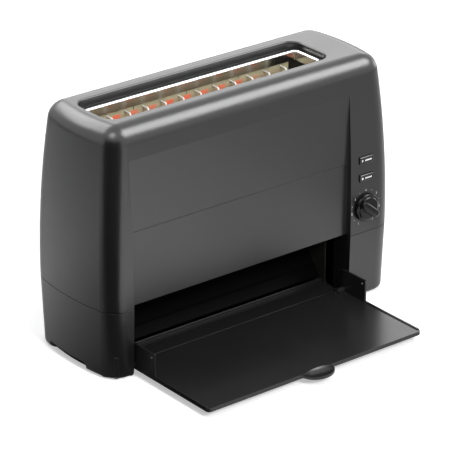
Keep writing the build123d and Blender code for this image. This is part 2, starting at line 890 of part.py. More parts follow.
with BuildPart() as chute_plate:
    yz_extrusion(
        [
            (behind(chute_front), chute_height(chute_front)),
            (behind(chute_rear), chute_height(chute_rear)),
            (behind(chute_rear), chute_height(chute_rear) + sheet),
            (behind(chute_front), chute_height(chute_front) + sheet),
        ],
        slot_left,
        slot_right,
    )
    bead_start = (slot_left, behind(chute_bead_depth), chute_height(chute_bead_depth) + sheet / 2)
    round_bar(bead_start, (1, 0, 0), slot_length, chute_bead_radius)
chute_plate.part.label = "chute_plate"

with BuildPart() as thermal_fuse:
    fuse_y = slot_y + slot_width / 2 + reflector_distance + sheet
    round_bar(
        (slot_x - fuse_length / 2, fuse_y + fuse_radius + clip_thickness, fuse_height),
        (1, 0, 0),
        fuse_length,
        fuse_radius,
    )
    block(
        (slot_x - clip_length / 2, fuse_y, fuse_height - fuse_radius),
        (slot_x + clip_length / 2, fuse_y + clip_thickness + fuse_radius, fuse_height + fuse_radius),
    )
thermal_fuse.part.label = "thermal_fuse"

# Bread gate: a flap on a barrel, turning with its shaft in two plain bushes
gate_left = slot_left + gate_end_gap
gate_right = slot_right - gate_end_gap
flap_front = slot_y - slot_width / 2
with BuildPart() as bread_gate:
    block(
        (gate_left, flap_front, gate_height - gate_thickness / 2),
        (gate_right, gate_y, gate_height + gate_thickness / 2),
    )
    round_bar((gate_left, gate_y, gate_height), (1, 0, 0), gate_right - gate_left, barrel_radius)
    round_bar(
        (gate_left, gate_y, gate_height), (1, 0, 0), gate_right - gate_left, shaft_radius, mode=Mode.SUBTRACT
    )
bread_gate.part.label = "bread_gate"

crank_x = slot_right + sheet + bush_flange + crank_gap
crank_end = crank_x + crank_thickness
shaft_left = slot_left - sheet - bush_flange
with BuildPart() as gate_shaft:
    round_bar((shaft_left, gate_y, gate_height), (1, 0, 0), crank_end - shaft_left, shaft_radius)
gate_shaft.part.label = "gate_shaft"

bush_inside = bush_length - sheet - bush_flange
with BuildPart() as gate_bushings:
    for outer_x, outward in bush_spots:
        round_bar((outer_x, gate_y, gate_height), (outward, 0, 0), bush_flange, bush_flange_radius)
        round_bar((outer_x, gate_y, gate_height), (-outward, 0, 0), sheet + bush_inside, bush_radius)
    for outer_x, outward in bush_spots:
        round_bar(
            (outer_x + outward * bush_flange, gate_y, gate_height),
            (-outward, 0, 0),
            bush_length,
            shaft_radius + running_gap,
            mode=Mode.SUBTRACT,
        )
gate_bushings.part.label = "gate_bushings"

# Crank: at rest its pin hangs half the opening angle below the level, behind the shaft
half_opening = radians(gate_opening / 2)
crank_pin_y = gate_y + crank_radius * cos(half_opening)
crank_pin_z = gate_height - crank_radius * sin(half_opening)
with BuildPart() as gate_crank:
    with BuildSketch(Plane.YZ.offset(crank_x)):
        with Locations((gate_y, gate_height)):
            Circle(crank_hub)
        with Locations((crank_pin_y, crank_pin_z)):
            Circle(2 * crank_pin_radius)
        make_hull()
    extrude(amount=crank_thickness)
    round_bar((crank_x, gate_y, gate_height), (1, 0, 0), crank_thickness, shaft_radius, mode=Mode.SUBTRACT)
    crank_pin_length = yoke_gap + yoke_thickness + crank_gap
    round_bar((crank_end, crank_pin_y, crank_pin_z), (1, 0, 0), crank_pin_length, crank_pin_radius)
gate_crank.part.label = "gate_crank"

# Solenoid: frame on the right end plate, coil, and a plunger whose slotted yoke holds the crank pin
plunger_x = crank_end + yoke_gap + yoke_thickness / 2
plunger_y = gate_y + crank_radius * (1 + cos(half_opening)) / 2
yoke_top = crank_pin_z + yoke_above
coil_bottom = crank_pin_z + solenoid_lift + solenoid_sheet
coil_top = coil_bottom + coil_length
solenoid_back = slot_right + sheet
solenoid_front = plunger_x + coil_radius
with BuildPart() as solenoid_frame:
    half = solenoid_width / 2
    block(
        (solenoid_back, plunger_y - half, coil_bottom - solenoid_sheet),
        (solenoid_back + solenoid_sheet, plunger_y + half, coil_top + solenoid_sheet),
    )
    for z in (coil_bottom - solenoid_sheet, coil_top):
        block((solenoid_back, plunger_y - half, z), (solenoid_front, plunger_y + half, z + solenoid_sheet))
    round_bar(
        (plunger_x, plunger_y, coil_bottom),
        (0, 0, -1),
        solenoid_sheet,
        plunger_radius + plunger_clearance,
        mode=Mode.SUBTRACT,
    )
solenoid_frame.part.label = "solenoid_frame"

with BuildPart() as solenoid_coil:
    round_bar((plunger_x, plunger_y, coil_bottom), (0, 0, 1), coil_length, coil_radius)
    round_bar(
        (plunger_x, plunger_y, coil_bottom),
        (0, 0, 1),
        coil_length,
        plunger_radius + plunger_clearance,
        mode=Mode.SUBTRACT,
    )
solenoid_coil.part.label = "solenoid_coil"

yoke_slot_half = crank_radius * (1 - cos(half_opening)) / 2 + crank_pin_radius + yoke_clearance
with BuildPart() as solenoid_plunger:
    block(
        (plunger_x - yoke_thickness / 2, plunger_y - yoke_half_width, crank_pin_z - yoke_below),
        (plunger_x + yoke_thickness / 2, plunger_y + yoke_half_width, yoke_top),
    )
    block(
        (
            plunger_x - yoke_thickness / 2,
            plunger_y - yoke_slot_half,
            crank_pin_z - crank_pin_radius - yoke_clearance,
        ),
        (
            plunger_x + yoke_thickness / 2,
            plunger_y + yoke_slot_half,
            crank_pin_z + crank_pin_radius + yoke_clearance,
        ),
        mode=Mode.SUBTRACT,
    )
    plunger_length = coil_bottom + plunger_overlap / 2 - yoke_top
    round_bar((plunger_x, plunger_y, yoke_top), (0, 0, 1), plunger_length, plunger_radius)
solenoid_plunger.part.label = "solenoid_plunger"

with BuildPart() as plunger_spring:
    spring_length = coil_bottom - solenoid_sheet - yoke_top
    round_bar((plunger_x, plunger_y, yoke_top), (0, 0, 1), spring_length, spring_radius)
    round_bar(
        (plunger_x, plunger_y, yoke_top),
        (0, 0, 1),
        spring_length,
        spring_radius - spring_wall,
        mode=Mode.SUBTRACT,
    )
plunger_spring.part.label = "plunger_spring"

# Control board with its switches and timer, behind the right column's face
with BuildPart() as control_board:
    block(
        (board_left, board_front, control_board_bottom),
        (board_right, board_front + control_board_thickness, control_board_top),
    )
    for x, z in board_posts:
        round_bar(
            (x, board_front, z), (0, 1, 0), control_board_thickness, board_screw_radius, mode=Mode.SUBTRACT
        )
control_board.part.label = "control_board"

with BuildPart() as board_screws:
    board_back = board_front + control_board_thickness
    for x, z in board_posts:
        round_bar((x, board_back, z), (0, 1, 0), board_screw_head_height, board_screw_head)
        round_bar((x, board_back, z), (0, -1, 0), board_screw_length, board_screw_radius)
board_screws.part.label = "board_screws"

with BuildPart() as button_switches:
    for z in (start_button_height, stop_button_height):
        block(
            (control_x - switch_size / 2, board_front - switch_depth, z - switch_size / 2),
            (control_x + switch_size / 2, board_front, z + switch_size / 2),
        )
button_switches.part.label = "button_switches"

timer_front = board_front - timer_depth
with BuildPart() as timer_body:
    block(
        (control_x - timer_width / 2, timer_front, knob_height - timer_width / 2),
        (control_x + timer_width / 2, board_front, knob_height + timer_width / 2),
    )
    round_bar(
        (control_x, timer_front, knob_height),
        (0, 1, 0),
        timer_seat + part_gap,
        timer_shaft_radius + running_gap,
        mode=Mode.SUBTRACT,
    )
timer_body.part.label = "timer_body"

knob_back = face_y - knob_gap
with BuildPart() as timer_shaft:
    shaft_front = knob_back - knob_seat
    shaft_length = timer_front + timer_seat - shaft_front
    round_bar((control_x, shaft_front, knob_height), (0, 1, 0), shaft_length, timer_shaft_radius)
timer_shaft.part.label = "timer_shaft"

# Knob: skirt, hub and a rounded grip bar that points at the third mark of its dial
knob_plane = Plane(
    origin=(control_x, knob_back, knob_height),
    x_dir=(sin(radians(knob_angle)), 0, cos(radians(knob_angle))),
    z_dir=(0, -1, 0),
)
with BuildPart() as browning_knob:
    knob_centre = (control_x, knob_back, knob_height)
    round_bar(knob_centre, (0, -1, 0), knob_skirt, knob_radius)
    chamfer(browning_knob.edges().sort_by(Axis.Y)[0], knob_skirt / 4)
    round_bar(knob_centre, (0, -1, 0), knob_hub_height, knob_hub_radius)
    with BuildSketch(knob_plane):
        SlotOverall(2 * knob_grip_radius, knob_grip_width)
    extrude(amount=knob_grip_height)
    fillet(browning_knob.faces().sort_by(Axis.Y)[0].edges(), knob_grip_width / 4)
    round_bar(knob_centre, (0, -1, 0), knob_seat, timer_shaft_radius, mode=Mode.SUBTRACT)
browning_knob.part.label = "browning_knob"


def push_button(level):
    """Button cap with an inner flange that keeps it in, and a stem towards its switch."""
    cap_front = behind(lean_at(level, face_lean) - button_proud)
    flange_front = behind(wall + lean_at(level + button_height, face_lean) + button_gap)
    stem_end = board_front - switch_depth - button_travel - button_gap
    with BuildSketch(Plane.XZ.offset(-flange_front)) as cap:
        with Locations((control_x, level)):
            Rectangle(button_length, button_height)
    extrude(cap.sketch, amount=flange_front - cap_front)
    fillet(faces().sort_by(Axis.Y)[0].edges(), button_rounding)
    half_length = button_length / 2 + button_flange
    half_height = button_height / 2 + button_flange
    block(
        (control_x - half_length, flange_front, level - half_height),
        (control_x + half_length, flange_front + button_flange_thickness, level + half_height),
    )
    half = button_stem / 2
    block((control_x - half, flange_front, level - half), (control_x + half, stem_end, level + half))


with BuildPart() as start_button:
    push_button(start_button_height)
start_button.part.label = "start_button"

with BuildPart() as stop_button:
    push_button(stop_button_height)
stop_button.part.label = "stop_button"

# Power board on the bottom cover, with its large components, and the inlet bush in the back wall
power_top = power_level + control_board_thickness
with BuildPart() as power_board:
    block((power_left, power_front, power_level), (power_right, power_back, power_top))
    for x, y in power_posts:
        round_bar(
            (x, y, power_level), (0, 0, 1), control_board_thickness, board_screw_radius, mode=Mode.SUBTRACT
        )
power_board.part.label = "power_board"

with BuildPart() as power_board_screws:
    power_screw_length = control_board_thickness + power_board_lift
    for x, y in power_posts:
        round_bar((x, y, power_top), (0, 0, 1), board_screw_head_height, board_screw_head)
        round_bar((x, y, power_top), (0, 0, -1), power_screw_length, board_screw_radius)
power_board_screws.part.label = "power_board_screws"

power_x = (power_left + power_right) / 2
component_front = power_front + board_post_inset + board_screw_head + part_gap


def component(centre_x, front, size):
    """Upright block component standing on the power board."""
    width, length, height = size
    block(
        (centre_x - width / 2, front, power_top),
        (centre_x + width / 2, front + length, power_top + height),
    )


relay_front = component_front + transformer_size[1] + component_margin
with BuildPart() as transformer:
    component(power_x, component_front, transformer_size)
transformer.part.label = "transformer"

with BuildPart() as relay:
    component(power_left + relay_size[0] / 2, relay_front, relay_size)
relay.part.label = "relay"

with BuildPart() as terminal_block:
    terminal_width, terminal_length, terminal_height = terminal_size
    terminal_x = power_right - terminal_length / 2
    component(terminal_x, relay_front, (terminal_length, terminal_width, terminal_height))
terminal_block.part.label = "terminal_block"

with BuildPart() as cord_gland:
    gland_outside = back_y - draft_at(gland_height) - gland_recess
    gland_inside = back_y - draft_at(gland_height) - wall - gland_flange - part_gap
    gland_end = (gland_x, gland_inside, gland_height)
    gland_length = gland_outside - gland_inside
    round_bar(gland_end, (0, 1, 0), gland_length, gland_radius)
    round_bar(gland_end, (0, 1, 0), gland_flange, gland_flange_radius)
    round_bar(gland_end, (0, 1, 0), gland_length, gland_bore, mode=Mode.SUBTRACT)
cord_gland.part.label = "cord_gland"

pieces = [
    upper_housing, base_housing, bottom_cover, rubber_feet, housing_screws, cover_screws, slot_frame,
    cord_gland, serving_tray, hinge_pins, outlet_sill, left_end_plate, right_end_plate, chassis_screws,
    front_reflector, rear_reflector,
    front_mica_board, rear_mica_board, front_heating_ribbon, rear_heating_ribbon, front_guard_wires,
    rear_guard_wires, chute_plate, thermal_fuse, bread_gate, gate_shaft, gate_bushings, gate_crank,
    solenoid_frame, solenoid_coil, solenoid_plunger, plunger_spring, control_board, board_screws,
    button_switches, timer_body, timer_shaft, browning_knob, start_button, stop_button, power_board,
    power_board_screws, transformer, relay, terminal_block,
]
os.makedirs("parts", exist_ok=True)
for piece in pieces:
    export_step(piece.part, f"parts/{piece.part.label}.step")
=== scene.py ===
"""Looks of a drop-through toaster with a fold-down serving tray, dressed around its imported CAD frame.

Metres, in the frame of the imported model: +X to the right seen from the front, +Y to the back, +Z up.
"""

import logging
import math
from collections.abc import Sequence
from dataclasses import dataclass
from enum import Enum

import bmesh
import bpy
from mathutils import Matrix, Vector
from mathutils.bvhtree import BVHTree


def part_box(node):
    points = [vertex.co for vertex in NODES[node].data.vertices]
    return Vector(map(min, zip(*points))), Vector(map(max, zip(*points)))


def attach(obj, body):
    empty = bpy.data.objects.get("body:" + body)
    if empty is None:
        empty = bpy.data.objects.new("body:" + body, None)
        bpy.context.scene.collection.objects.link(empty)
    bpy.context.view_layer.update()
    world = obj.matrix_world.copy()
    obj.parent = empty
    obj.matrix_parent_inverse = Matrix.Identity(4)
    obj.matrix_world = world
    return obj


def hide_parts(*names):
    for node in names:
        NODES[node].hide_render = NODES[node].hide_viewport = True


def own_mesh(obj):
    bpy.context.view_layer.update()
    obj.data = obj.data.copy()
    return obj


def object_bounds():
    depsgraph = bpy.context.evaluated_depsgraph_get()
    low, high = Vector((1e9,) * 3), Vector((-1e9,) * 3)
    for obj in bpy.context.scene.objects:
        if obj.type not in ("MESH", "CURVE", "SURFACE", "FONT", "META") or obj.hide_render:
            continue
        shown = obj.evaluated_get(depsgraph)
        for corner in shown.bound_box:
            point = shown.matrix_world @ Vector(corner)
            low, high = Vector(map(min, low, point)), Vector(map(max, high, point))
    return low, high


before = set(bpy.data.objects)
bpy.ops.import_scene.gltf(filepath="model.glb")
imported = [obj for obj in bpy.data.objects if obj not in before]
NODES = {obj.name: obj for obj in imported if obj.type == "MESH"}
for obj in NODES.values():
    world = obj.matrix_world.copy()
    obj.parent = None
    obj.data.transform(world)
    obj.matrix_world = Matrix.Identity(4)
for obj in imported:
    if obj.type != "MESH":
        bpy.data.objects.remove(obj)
CAD_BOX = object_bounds()
LOG = logging.getLogger("toaster")
MM = 0.001

# Points closer than this are one, and solids are sorted by their place to so many digits of a metre.
MERGE_DISTANCE = 0.002 * MM
SORT_DIGITS = 5
# Values of the slow noise that count in a finish's sheen, and rays that round the light on an edge.
MOTTLE_RANGE = (0.3, 0.7)
EDGE_SAMPLES = 6
SKIN_SHARP_DEGREES = 60.0

Pair = tuple[float, float]
Point = tuple[float, float, float]
Colour = tuple[float, float, float]
Ring = Sequence[Sequence[float]]


class Slot(Enum):
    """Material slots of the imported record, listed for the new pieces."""

    CASING = "casing_plastic"
    KNOB = "knob_plastic"
    FRAME = "slot_metal"
    WIRE = "guard_wire"
    SCREW = "screw_steel"


class Body(Enum):
    """Bodies that new pieces ride on."""

    CASING = "casing"
    KNOB = "knob"
    START = "start_key"
    STOP = "stop_key"


class Role(Enum):
    """What a lamp is for: light spread over surfaces, or its own mirror image in them."""

    SPREAD = "spread"
    HIGHLIGHT = "highlight"


class Sign(Enum):
    """Signs on the buttons, by their number of corners."""

    TRIANGLE = 3
    SQUARE = 4


class Tree:
    """A node tree being filled, with short calls for adding and linking nodes."""

    def __init__(self, tree: bpy.types.NodeTree) -> None:
        """Keeps the tree to fill."""
        self.tree = tree

    def link(self, source: bpy.types.NodeSocket, target: bpy.types.NodeSocket) -> None:
        """Feeds an output into an input."""
        self.tree.links.new(source, target)

    def add(self, kind: str, links: dict | None = None, **values: object) -> bpy.types.Node:
        """Adds a node.

        Args:
            kind: Type name of the node.
            links: Input name or number to the output that feeds it, or to a plain value.
            **values: Properties of the node.

        Returns:
            The new node.
        """
        node = self.tree.nodes.new(kind)
        for name, value in values.items():
            setattr(node, name, value)
        for key, source in (links or {}).items():
            if isinstance(source, bpy.types.NodeSocket):
                self.link(source, node.inputs[key])
            else:
                node.inputs[key].default_value = source
        return node

    def math(self, operation: str, first: object, second: object = 0.0) -> bpy.types.NodeSocket:
        """Adds a Math node on sockets or numbers, and gives its result."""
        return self.add("ShaderNodeMath", {0: first, 1: second}, operation=operation).outputs[0]

    def noise(self, place: bpy.types.NodeSocket, scale: object, detail: float) -> bpy.types.NodeSocket:
        """Adds a Noise Texture node, and gives its value."""
        node = self.add("ShaderNodeTexNoise", {"Vector": place, "Scale": scale, "Detail": detail})
        return node.outputs["Fac"]

    def ranged(
        self, value: bpy.types.NodeSocket, source: Pair, target: Pair = (0.0, 1.0)
    ) -> bpy.types.NodeSocket:
        """Adds a Map Range node.

        Args:
            value: What it maps.
            source: Lowest and highest value that count.
            target: What these two become.

        Returns:
            The mapped value.
        """
        links = {"From Min": source[0], "From Max": source[1], "To Min": target[0], "To Max": target[1]}
        return self.add("ShaderNodeMapRange", {"Value": value, **links}).outputs[0]

    def mix(self, factor: bpy.types.NodeSocket, first: object, second: object) -> bpy.types.NodeSocket:
        """Adds a Mix node; 6, 7 and 2 are the numbers of its colour sockets."""
        node = self.add("ShaderNodeMix", {"Factor": factor, 6: first, 7: second}, data_type="RGBA")
        return node.outputs[2]


def empty_tree(block: bpy.types.Material | bpy.types.World) -> Tree:
    """Empties the node tree of a material or world.

    Args:
        block: The material or world.

    Returns:
        Its tree, to be filled.
    """
    block.use_nodes = True
    block.node_tree.nodes.clear()
    return Tree(block.node_tree)


@dataclass(frozen=True)
class ReliefPattern:
    """Fine relief of a surface, stretched along the axes, and a slow mottle for its sheen."""

    name: str
    stretch: Point
    fine_detail: float
    mottle_detail: float

    def group(self) -> bpy.types.NodeTree:
        """Builds the pattern as a shader node group.

        Returns:
            The group, with inputs Fineness and Mottle Scale and outputs Height and Mottle.
        """
        group = bpy.data.node_groups.new(self.name, "ShaderNodeTree")
        for label in ("Fineness", "Mottle Scale"):
            group.interface.new_socket(label, in_out="INPUT", socket_type="NodeSocketFloat")
        for label in ("Height", "Mottle"):
            group.interface.new_socket(label, in_out="OUTPUT", socket_type="NodeSocketFloat")
        tree = Tree(group)
        given = tree.add("NodeGroupInput").outputs
        place = tree.add("ShaderNodeTexCoord").outputs["Object"]
        drawn = tree.add("ShaderNodeVectorMath", {0: place, 1: self.stretch}, operation="MULTIPLY")
        fine = tree.noise(drawn.outputs[0], given["Fineness"], self.fine_detail)
        slow = tree.noise(place, given["Mottle Scale"], self.mottle_detail)
        tree.add("NodeGroupOutput", {"Height": fine, "Mottle": slow})
        return group


class Relief(Enum):
    """Kinds of fine relief: spark-eroded grain of a moulding, and lines of rolled metal along X."""

    MOULDED = ReliefPattern("moulded_grain", (1.0, 1.0, 1.0), 3.0, 4.0)
    BRUSHED = ReliefPattern("brushed_lines", (0.02, 1.0, 1.0), 2.0, 3.0)


RELIEF_GROUPS = {relief: relief.value.group() for relief in Relief}


@dataclass(frozen=True)
class Finish:
    """A surface finish: its colour, sheen and fine relief."""

    name: str
    colour: Colour
    roughness: float
    roughness_spread: float = 0.05
    colour_spread: float = 0.15
    metallic: float = 0.0
    specular: float = 0.5
    relief: Relief = Relief.MOULDED
    relief_strength: float = 0.1
    relief_depth: float = 0.1 * MM
    fineness: float = 1600.0
    mottle_scale: float = 14.0
    edge: float = 0.0

    def material(self) -> bpy.types.Material:
        """Builds the finish as a node material, or gives the one already built.

        Returns:
            The material.
        """
        label = f"{self.name}_finish"
        known = bpy.data.materials.get(label)
        if known is not None:
            return known
        made = bpy.data.materials.new(label)
        tree = empty_tree(made)
        pattern = tree.add(
            "ShaderNodeGroup",
            {"Fineness": self.fineness, "Mottle Scale": self.mottle_scale},
            node_tree=RELIEF_GROUPS[self.relief],
        )
        mottle = pattern.outputs["Mottle"]
        sheen = (self.roughness - self.roughness_spread, self.roughness + self.roughness_spread)
        dark = tuple(c * (1 - self.colour_spread) for c in self.colour)
        light = tuple(c * (1 + self.colour_spread) for c in self.colour)
        bump = tree.add(
            "ShaderNodeBump",
            {
                "Height": pattern.outputs["Height"],
                "Strength": self.relief_strength,
                "Distance": self.relief_depth,
            },
        )
        if self.edge:
            rim = tree.add("ShaderNodeBevel", {"Radius": self.edge}, samples=EDGE_SAMPLES)
            tree.link(rim.outputs[0], bump.inputs["Normal"])
        shader = tree.add(
            "ShaderNodeBsdfPrincipled",
            {
                "Base Color": tree.mix(mottle, (*dark, 1), (*light, 1)),
                "Roughness": tree.ranged(mottle, MOTTLE_RANGE, sheen),
                "Metallic": self.metallic,
                "Specular IOR Level": self.specular,
                "Normal": bump.outputs[0],
            },
        )
        self.add_more(tree, shader)
        tree.add("ShaderNodeOutputMaterial", {"Surface": shader.outputs[0]})
        return made

    def add_more(self, tree: Tree, shader: bpy.types.Node) -> None:
        """Place for what one finish adds to its tree and shader beyond the rest."""

    def put_on(self, piece: bpy.types.Object) -> None:
        """Makes this the only material of a piece."""
        piece.data.materials.clear()
        piece.data.materials.append(self.material())


@dataclass(frozen=True)
class GlowingFinish(Finish):
    """A finish whose hot lengths glow between the guard wires."""

    hot: Colour = (0.55, 0.12, 0.065)
    glow_strength: float = 0.16
    pitch: float = 21.75 * MM
    first: float = -14.25 * MM
    length_range: Pair = (-0.4, 0.7)
    patch_scale: float = 14.0
    patch_detail: float = 1.0
    patch_range: Pair = (0.4, 0.56)

    def add_more(self, tree: Tree, shader: bpy.types.Node) -> None:
        """Adds the hot lengths along the strip.

        Args:
            tree: The material's tree.
            shader: Its Principled shader.
        """
        place = tree.add("ShaderNodeTexCoord").outputs["Object"]
        patch = tree.ranged(tree.noise(place, self.patch_scale, self.patch_detail), self.patch_range)
        split = tree.add("ShaderNodeSeparateXYZ", {"Vector": place})
        along = tree.math("SUBTRACT", split.outputs["X"], self.first)
        turn = tree.math("MULTIPLY", along, 2 * math.pi / self.pitch)
        length = tree.ranged(tree.math("COSINE", turn), self.length_range)
        mask = tree.math("MULTIPLY", patch, length)
        hot = (*self.hot, 1)
        base = shader.inputs["Base Color"]
        cold = base.links[0].from_socket
        tree.link(tree.mix(mask, cold, hot), base)
        tree.link(tree.mix(mask, (0, 0, 0, 1), hot), shader.inputs["Emission Color"])
        shader.inputs["Emission Strength"].default_value = self.glow_strength


CASING_BLACK = Finish(
    "casing_black",
    (0.0062, 0.0062, 0.0064),
    0.3,
    roughness_spread=0.02,
    specular=0.85,
    relief_strength=0.06,
    edge=0.4 * MM,
)
TRAY_BLACK = Finish(
    "tray_black",
    (0.0095, 0.0095, 0.0097),
    0.25,
    roughness_spread=0.02,
    specular=0.45,
    relief_strength=0.03,
    edge=0.4 * MM,
)
KNOB_BLACK = Finish(
    "knob_black", (0.003, 0.003, 0.003), 0.1, roughness_spread=0.02, specular=0.3, relief_strength=0.02
)
BUTTON_BLACK = Finish("button_black", (0.006, 0.006, 0.006), 0.2, specular=0.7, relief_strength=0.05)
MARK_WHITE = Finish("mark_white", (0.52, 0.52, 0.51), 0.5, colour_spread=0.05)
BRIGHT_STEEL = Finish(
    "bright_steel", (0.86, 0.86, 0.85), 0.16, metallic=1.0, colour_spread=0.05, relief=Relief.BRUSHED
)
CHASSIS_STEEL = Finish("chassis_steel", (0.42, 0.42, 0.39), 0.38, metallic=1.0, relief=Relief.BRUSHED)
# Near-black with almost no sheen: on the chute this is painted shade for the dark inside of the outlet;
# the bottom cover takes the same finish.
DARK_STEEL_AND_PAINTED_SHADE = Finish("dark_steel_and_painted_shade", (0.0015, 0.0015, 0.0015), 0.36, relief=Relief.BRUSHED, specular=0.02)
# End plates darkened, with little sheen, as painted shade for the dark inside of the outlet.
END_PLATE_IN_PAINTED_SHADE = Finish("end_plate", (0.016, 0.0155, 0.014), 0.45, relief=Relief.BRUSHED, specular=0.2)
MICA_SHEET = Finish("mica_sheet", (0.30, 0.275, 0.18), 0.5, colour_spread=0.3, mottle_scale=60.0)
HEATER = GlowingFinish("heater_strip", (0.32, 0.26, 0.17), 0.5)
# Near-white and matt instead of metal: painted highlight that stands in for the glint of the steel guard
# wires.
WHITE_WIRE_PAINTED_GLINT = Finish("guard_wire", (0.95, 0.94, 0.90), 0.4, colour_spread=0.05, relief=Relief.BRUSHED)
SCREW_STEEL = Finish("screw_steel", (0.45, 0.45, 0.44), 0.35, metallic=1.0, relief=Relief.BRUSHED)
BRASS = Finish("bush_brass", (0.62, 0.44, 0.16), 0.35, metallic=1.0, relief=Relief.BRUSHED)
COPPER = Finish("coil_copper", (0.58, 0.24, 0.10), 0.35, metallic=1.0, relief=Relief.BRUSHED)
RUBBER = Finish("foot_rubber", (0.012, 0.012, 0.012), 0.8)
LAMINATE = Finish("board_laminate", (0.015, 0.07, 0.03), 0.5, specular=0.2)
COMPONENT = Finish("component_black", (0.02, 0.02, 0.022), 0.5)

NODE_FINISHES = {
    CASING_BLACK: ("upper_housing", "base_housing", "start_button", "stop_button", "cord_gland"),
    TRAY_BLACK: ("serving_tray", "outlet_sill"),
    KNOB_BLACK: ("browning_knob",),
    BRIGHT_STEEL: ("slot_frame", "front_reflector", "rear_reflector"),
    CHASSIS_STEEL: (
        "bread_gate", "gate_shaft", "gate_crank", "solenoid_frame", "solenoid_plunger", "plunger_spring",
        "timer_shaft",
    ),
    DARK_STEEL_AND_PAINTED_SHADE: ("chute_plate", "bottom_cover"),
    END_PLATE_IN_PAINTED_SHADE: ("left_end_plate", "right_end_plate"),
    MICA_SHEET: ("front_mica_board", "rear_mica_board"),
    HEATER: ("front_heating_ribbon", "rear_heating_ribbon"),
    WHITE_WIRE_PAINTED_GLINT: ("front_guard_wires", "rear_guard_wires"),
    SCREW_STEEL: (
        "housing_screws", "cover_screws", "chassis_screws", "board_screws", "power_board_screws",
        "hinge_pins",
    ),
    BRASS: ("gate_bushings",),
    COPPER: ("solenoid_coil",),
    RUBBER: ("rubber_feet",),
    LAMINATE: ("control_board", "power_board"),
    COMPONENT: ("thermal_fuse", "button_switches", "timer_body", "transformer", "relay", "terminal_block"),
}


def put_in_scene(name: str, data: bpy.types.ID) -> bpy.types.Object:
    """Puts a mesh, text, lamp or camera into the scene.

    Args:
        name: Name of the new object.
        data: What the object holds.

    Returns:
        The object.
    """
    made = bpy.data.objects.new(name, data)
    bpy.context.scene.collection.objects.link(made)
    return made


def plain_piece(
    name: str, points: Ring, edges: Sequence[Sequence[int]] = (), faces: Sequence[Sequence[int]] = ()
) -> bpy.types.Object:
    """Makes a piece from points.

    Args:
        name: Name of the piece.
        points: Its points.
        edges: Pairs of point numbers.
        faces: Rings of point numbers.

    Returns:
        The piece.
    """
    mesh = bpy.data.meshes.new(name)
    mesh.from_pydata(points, edges, faces)
    return put_in_scene(name, mesh)


def evaluated_mesh(piece: bpy.types.Object) -> bpy.types.Mesh:
    """Gives what an object shows, with its modifiers, as a plain mesh."""
    graph = bpy.context.evaluated_depsgraph_get()
    return bpy.data.meshes.new_from_object(piece.evaluated_get(graph), depsgraph=graph)


def ready(piece: bpy.types.Object, finish: Finish, body: Body, slot: Slot, *nodes: str) -> None:
    """Dresses a piece, lets it ride on its body and hides the CAD nodes that it replaces.

    Args:
        piece: The piece.
        finish: Its finish.
        body: The body that it moves with.
        slot: Its material slot in the record; not used.
        *nodes: CAD nodes that it replaces, if any.
    """
    finish.put_on(piece)
    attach(piece, body.value)
    if nodes:
        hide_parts(*nodes)
    LOG.info("%s: %d faces on %s", piece.name, len(piece.data.polygons), body.value)


def shade(mesh: bpy.types.Mesh, degrees: float) -> None:
    """Shades a mesh smooth, apart from edges that turn by more than an angle."""
    mesh.shade_smooth()
    mesh.set_sharp_from_angle(angle=math.radians(degrees))


def islands(node: str) -> list[tuple[Vector, Vector]]:
    """Finds the boxes of a node's separate solids, on a copy with its loose triangles joined.

    Args:
        node: Name of the node.

    Returns:
        The lowest and highest corner of each solid, sorted by place.
    """
    form = bmesh.new()
    form.from_mesh(NODES[node].data)
    bmesh.ops.remove_doubles(form, verts=form.verts, dist=MERGE_DISTANCE)
    waiting = set(form.verts)
    boxes = []
    while waiting:
        group = [waiting.pop()]
        for vert in group:
            for edge in vert.link_edges:
                other = edge.other_vert(vert)
                if other in waiting:
                    waiting.discard(other)
                    group.append(other)
        low = Vector([min(v.co[axis] for v in group) for axis in range(3)])
        high = Vector([max(v.co[axis] for v in group) for axis in range(3)])
        boxes.append((low, high))
    form.free()
    return sorted(boxes, key=lambda box: tuple(round(c, SORT_DIGITS) for c in box[0]))


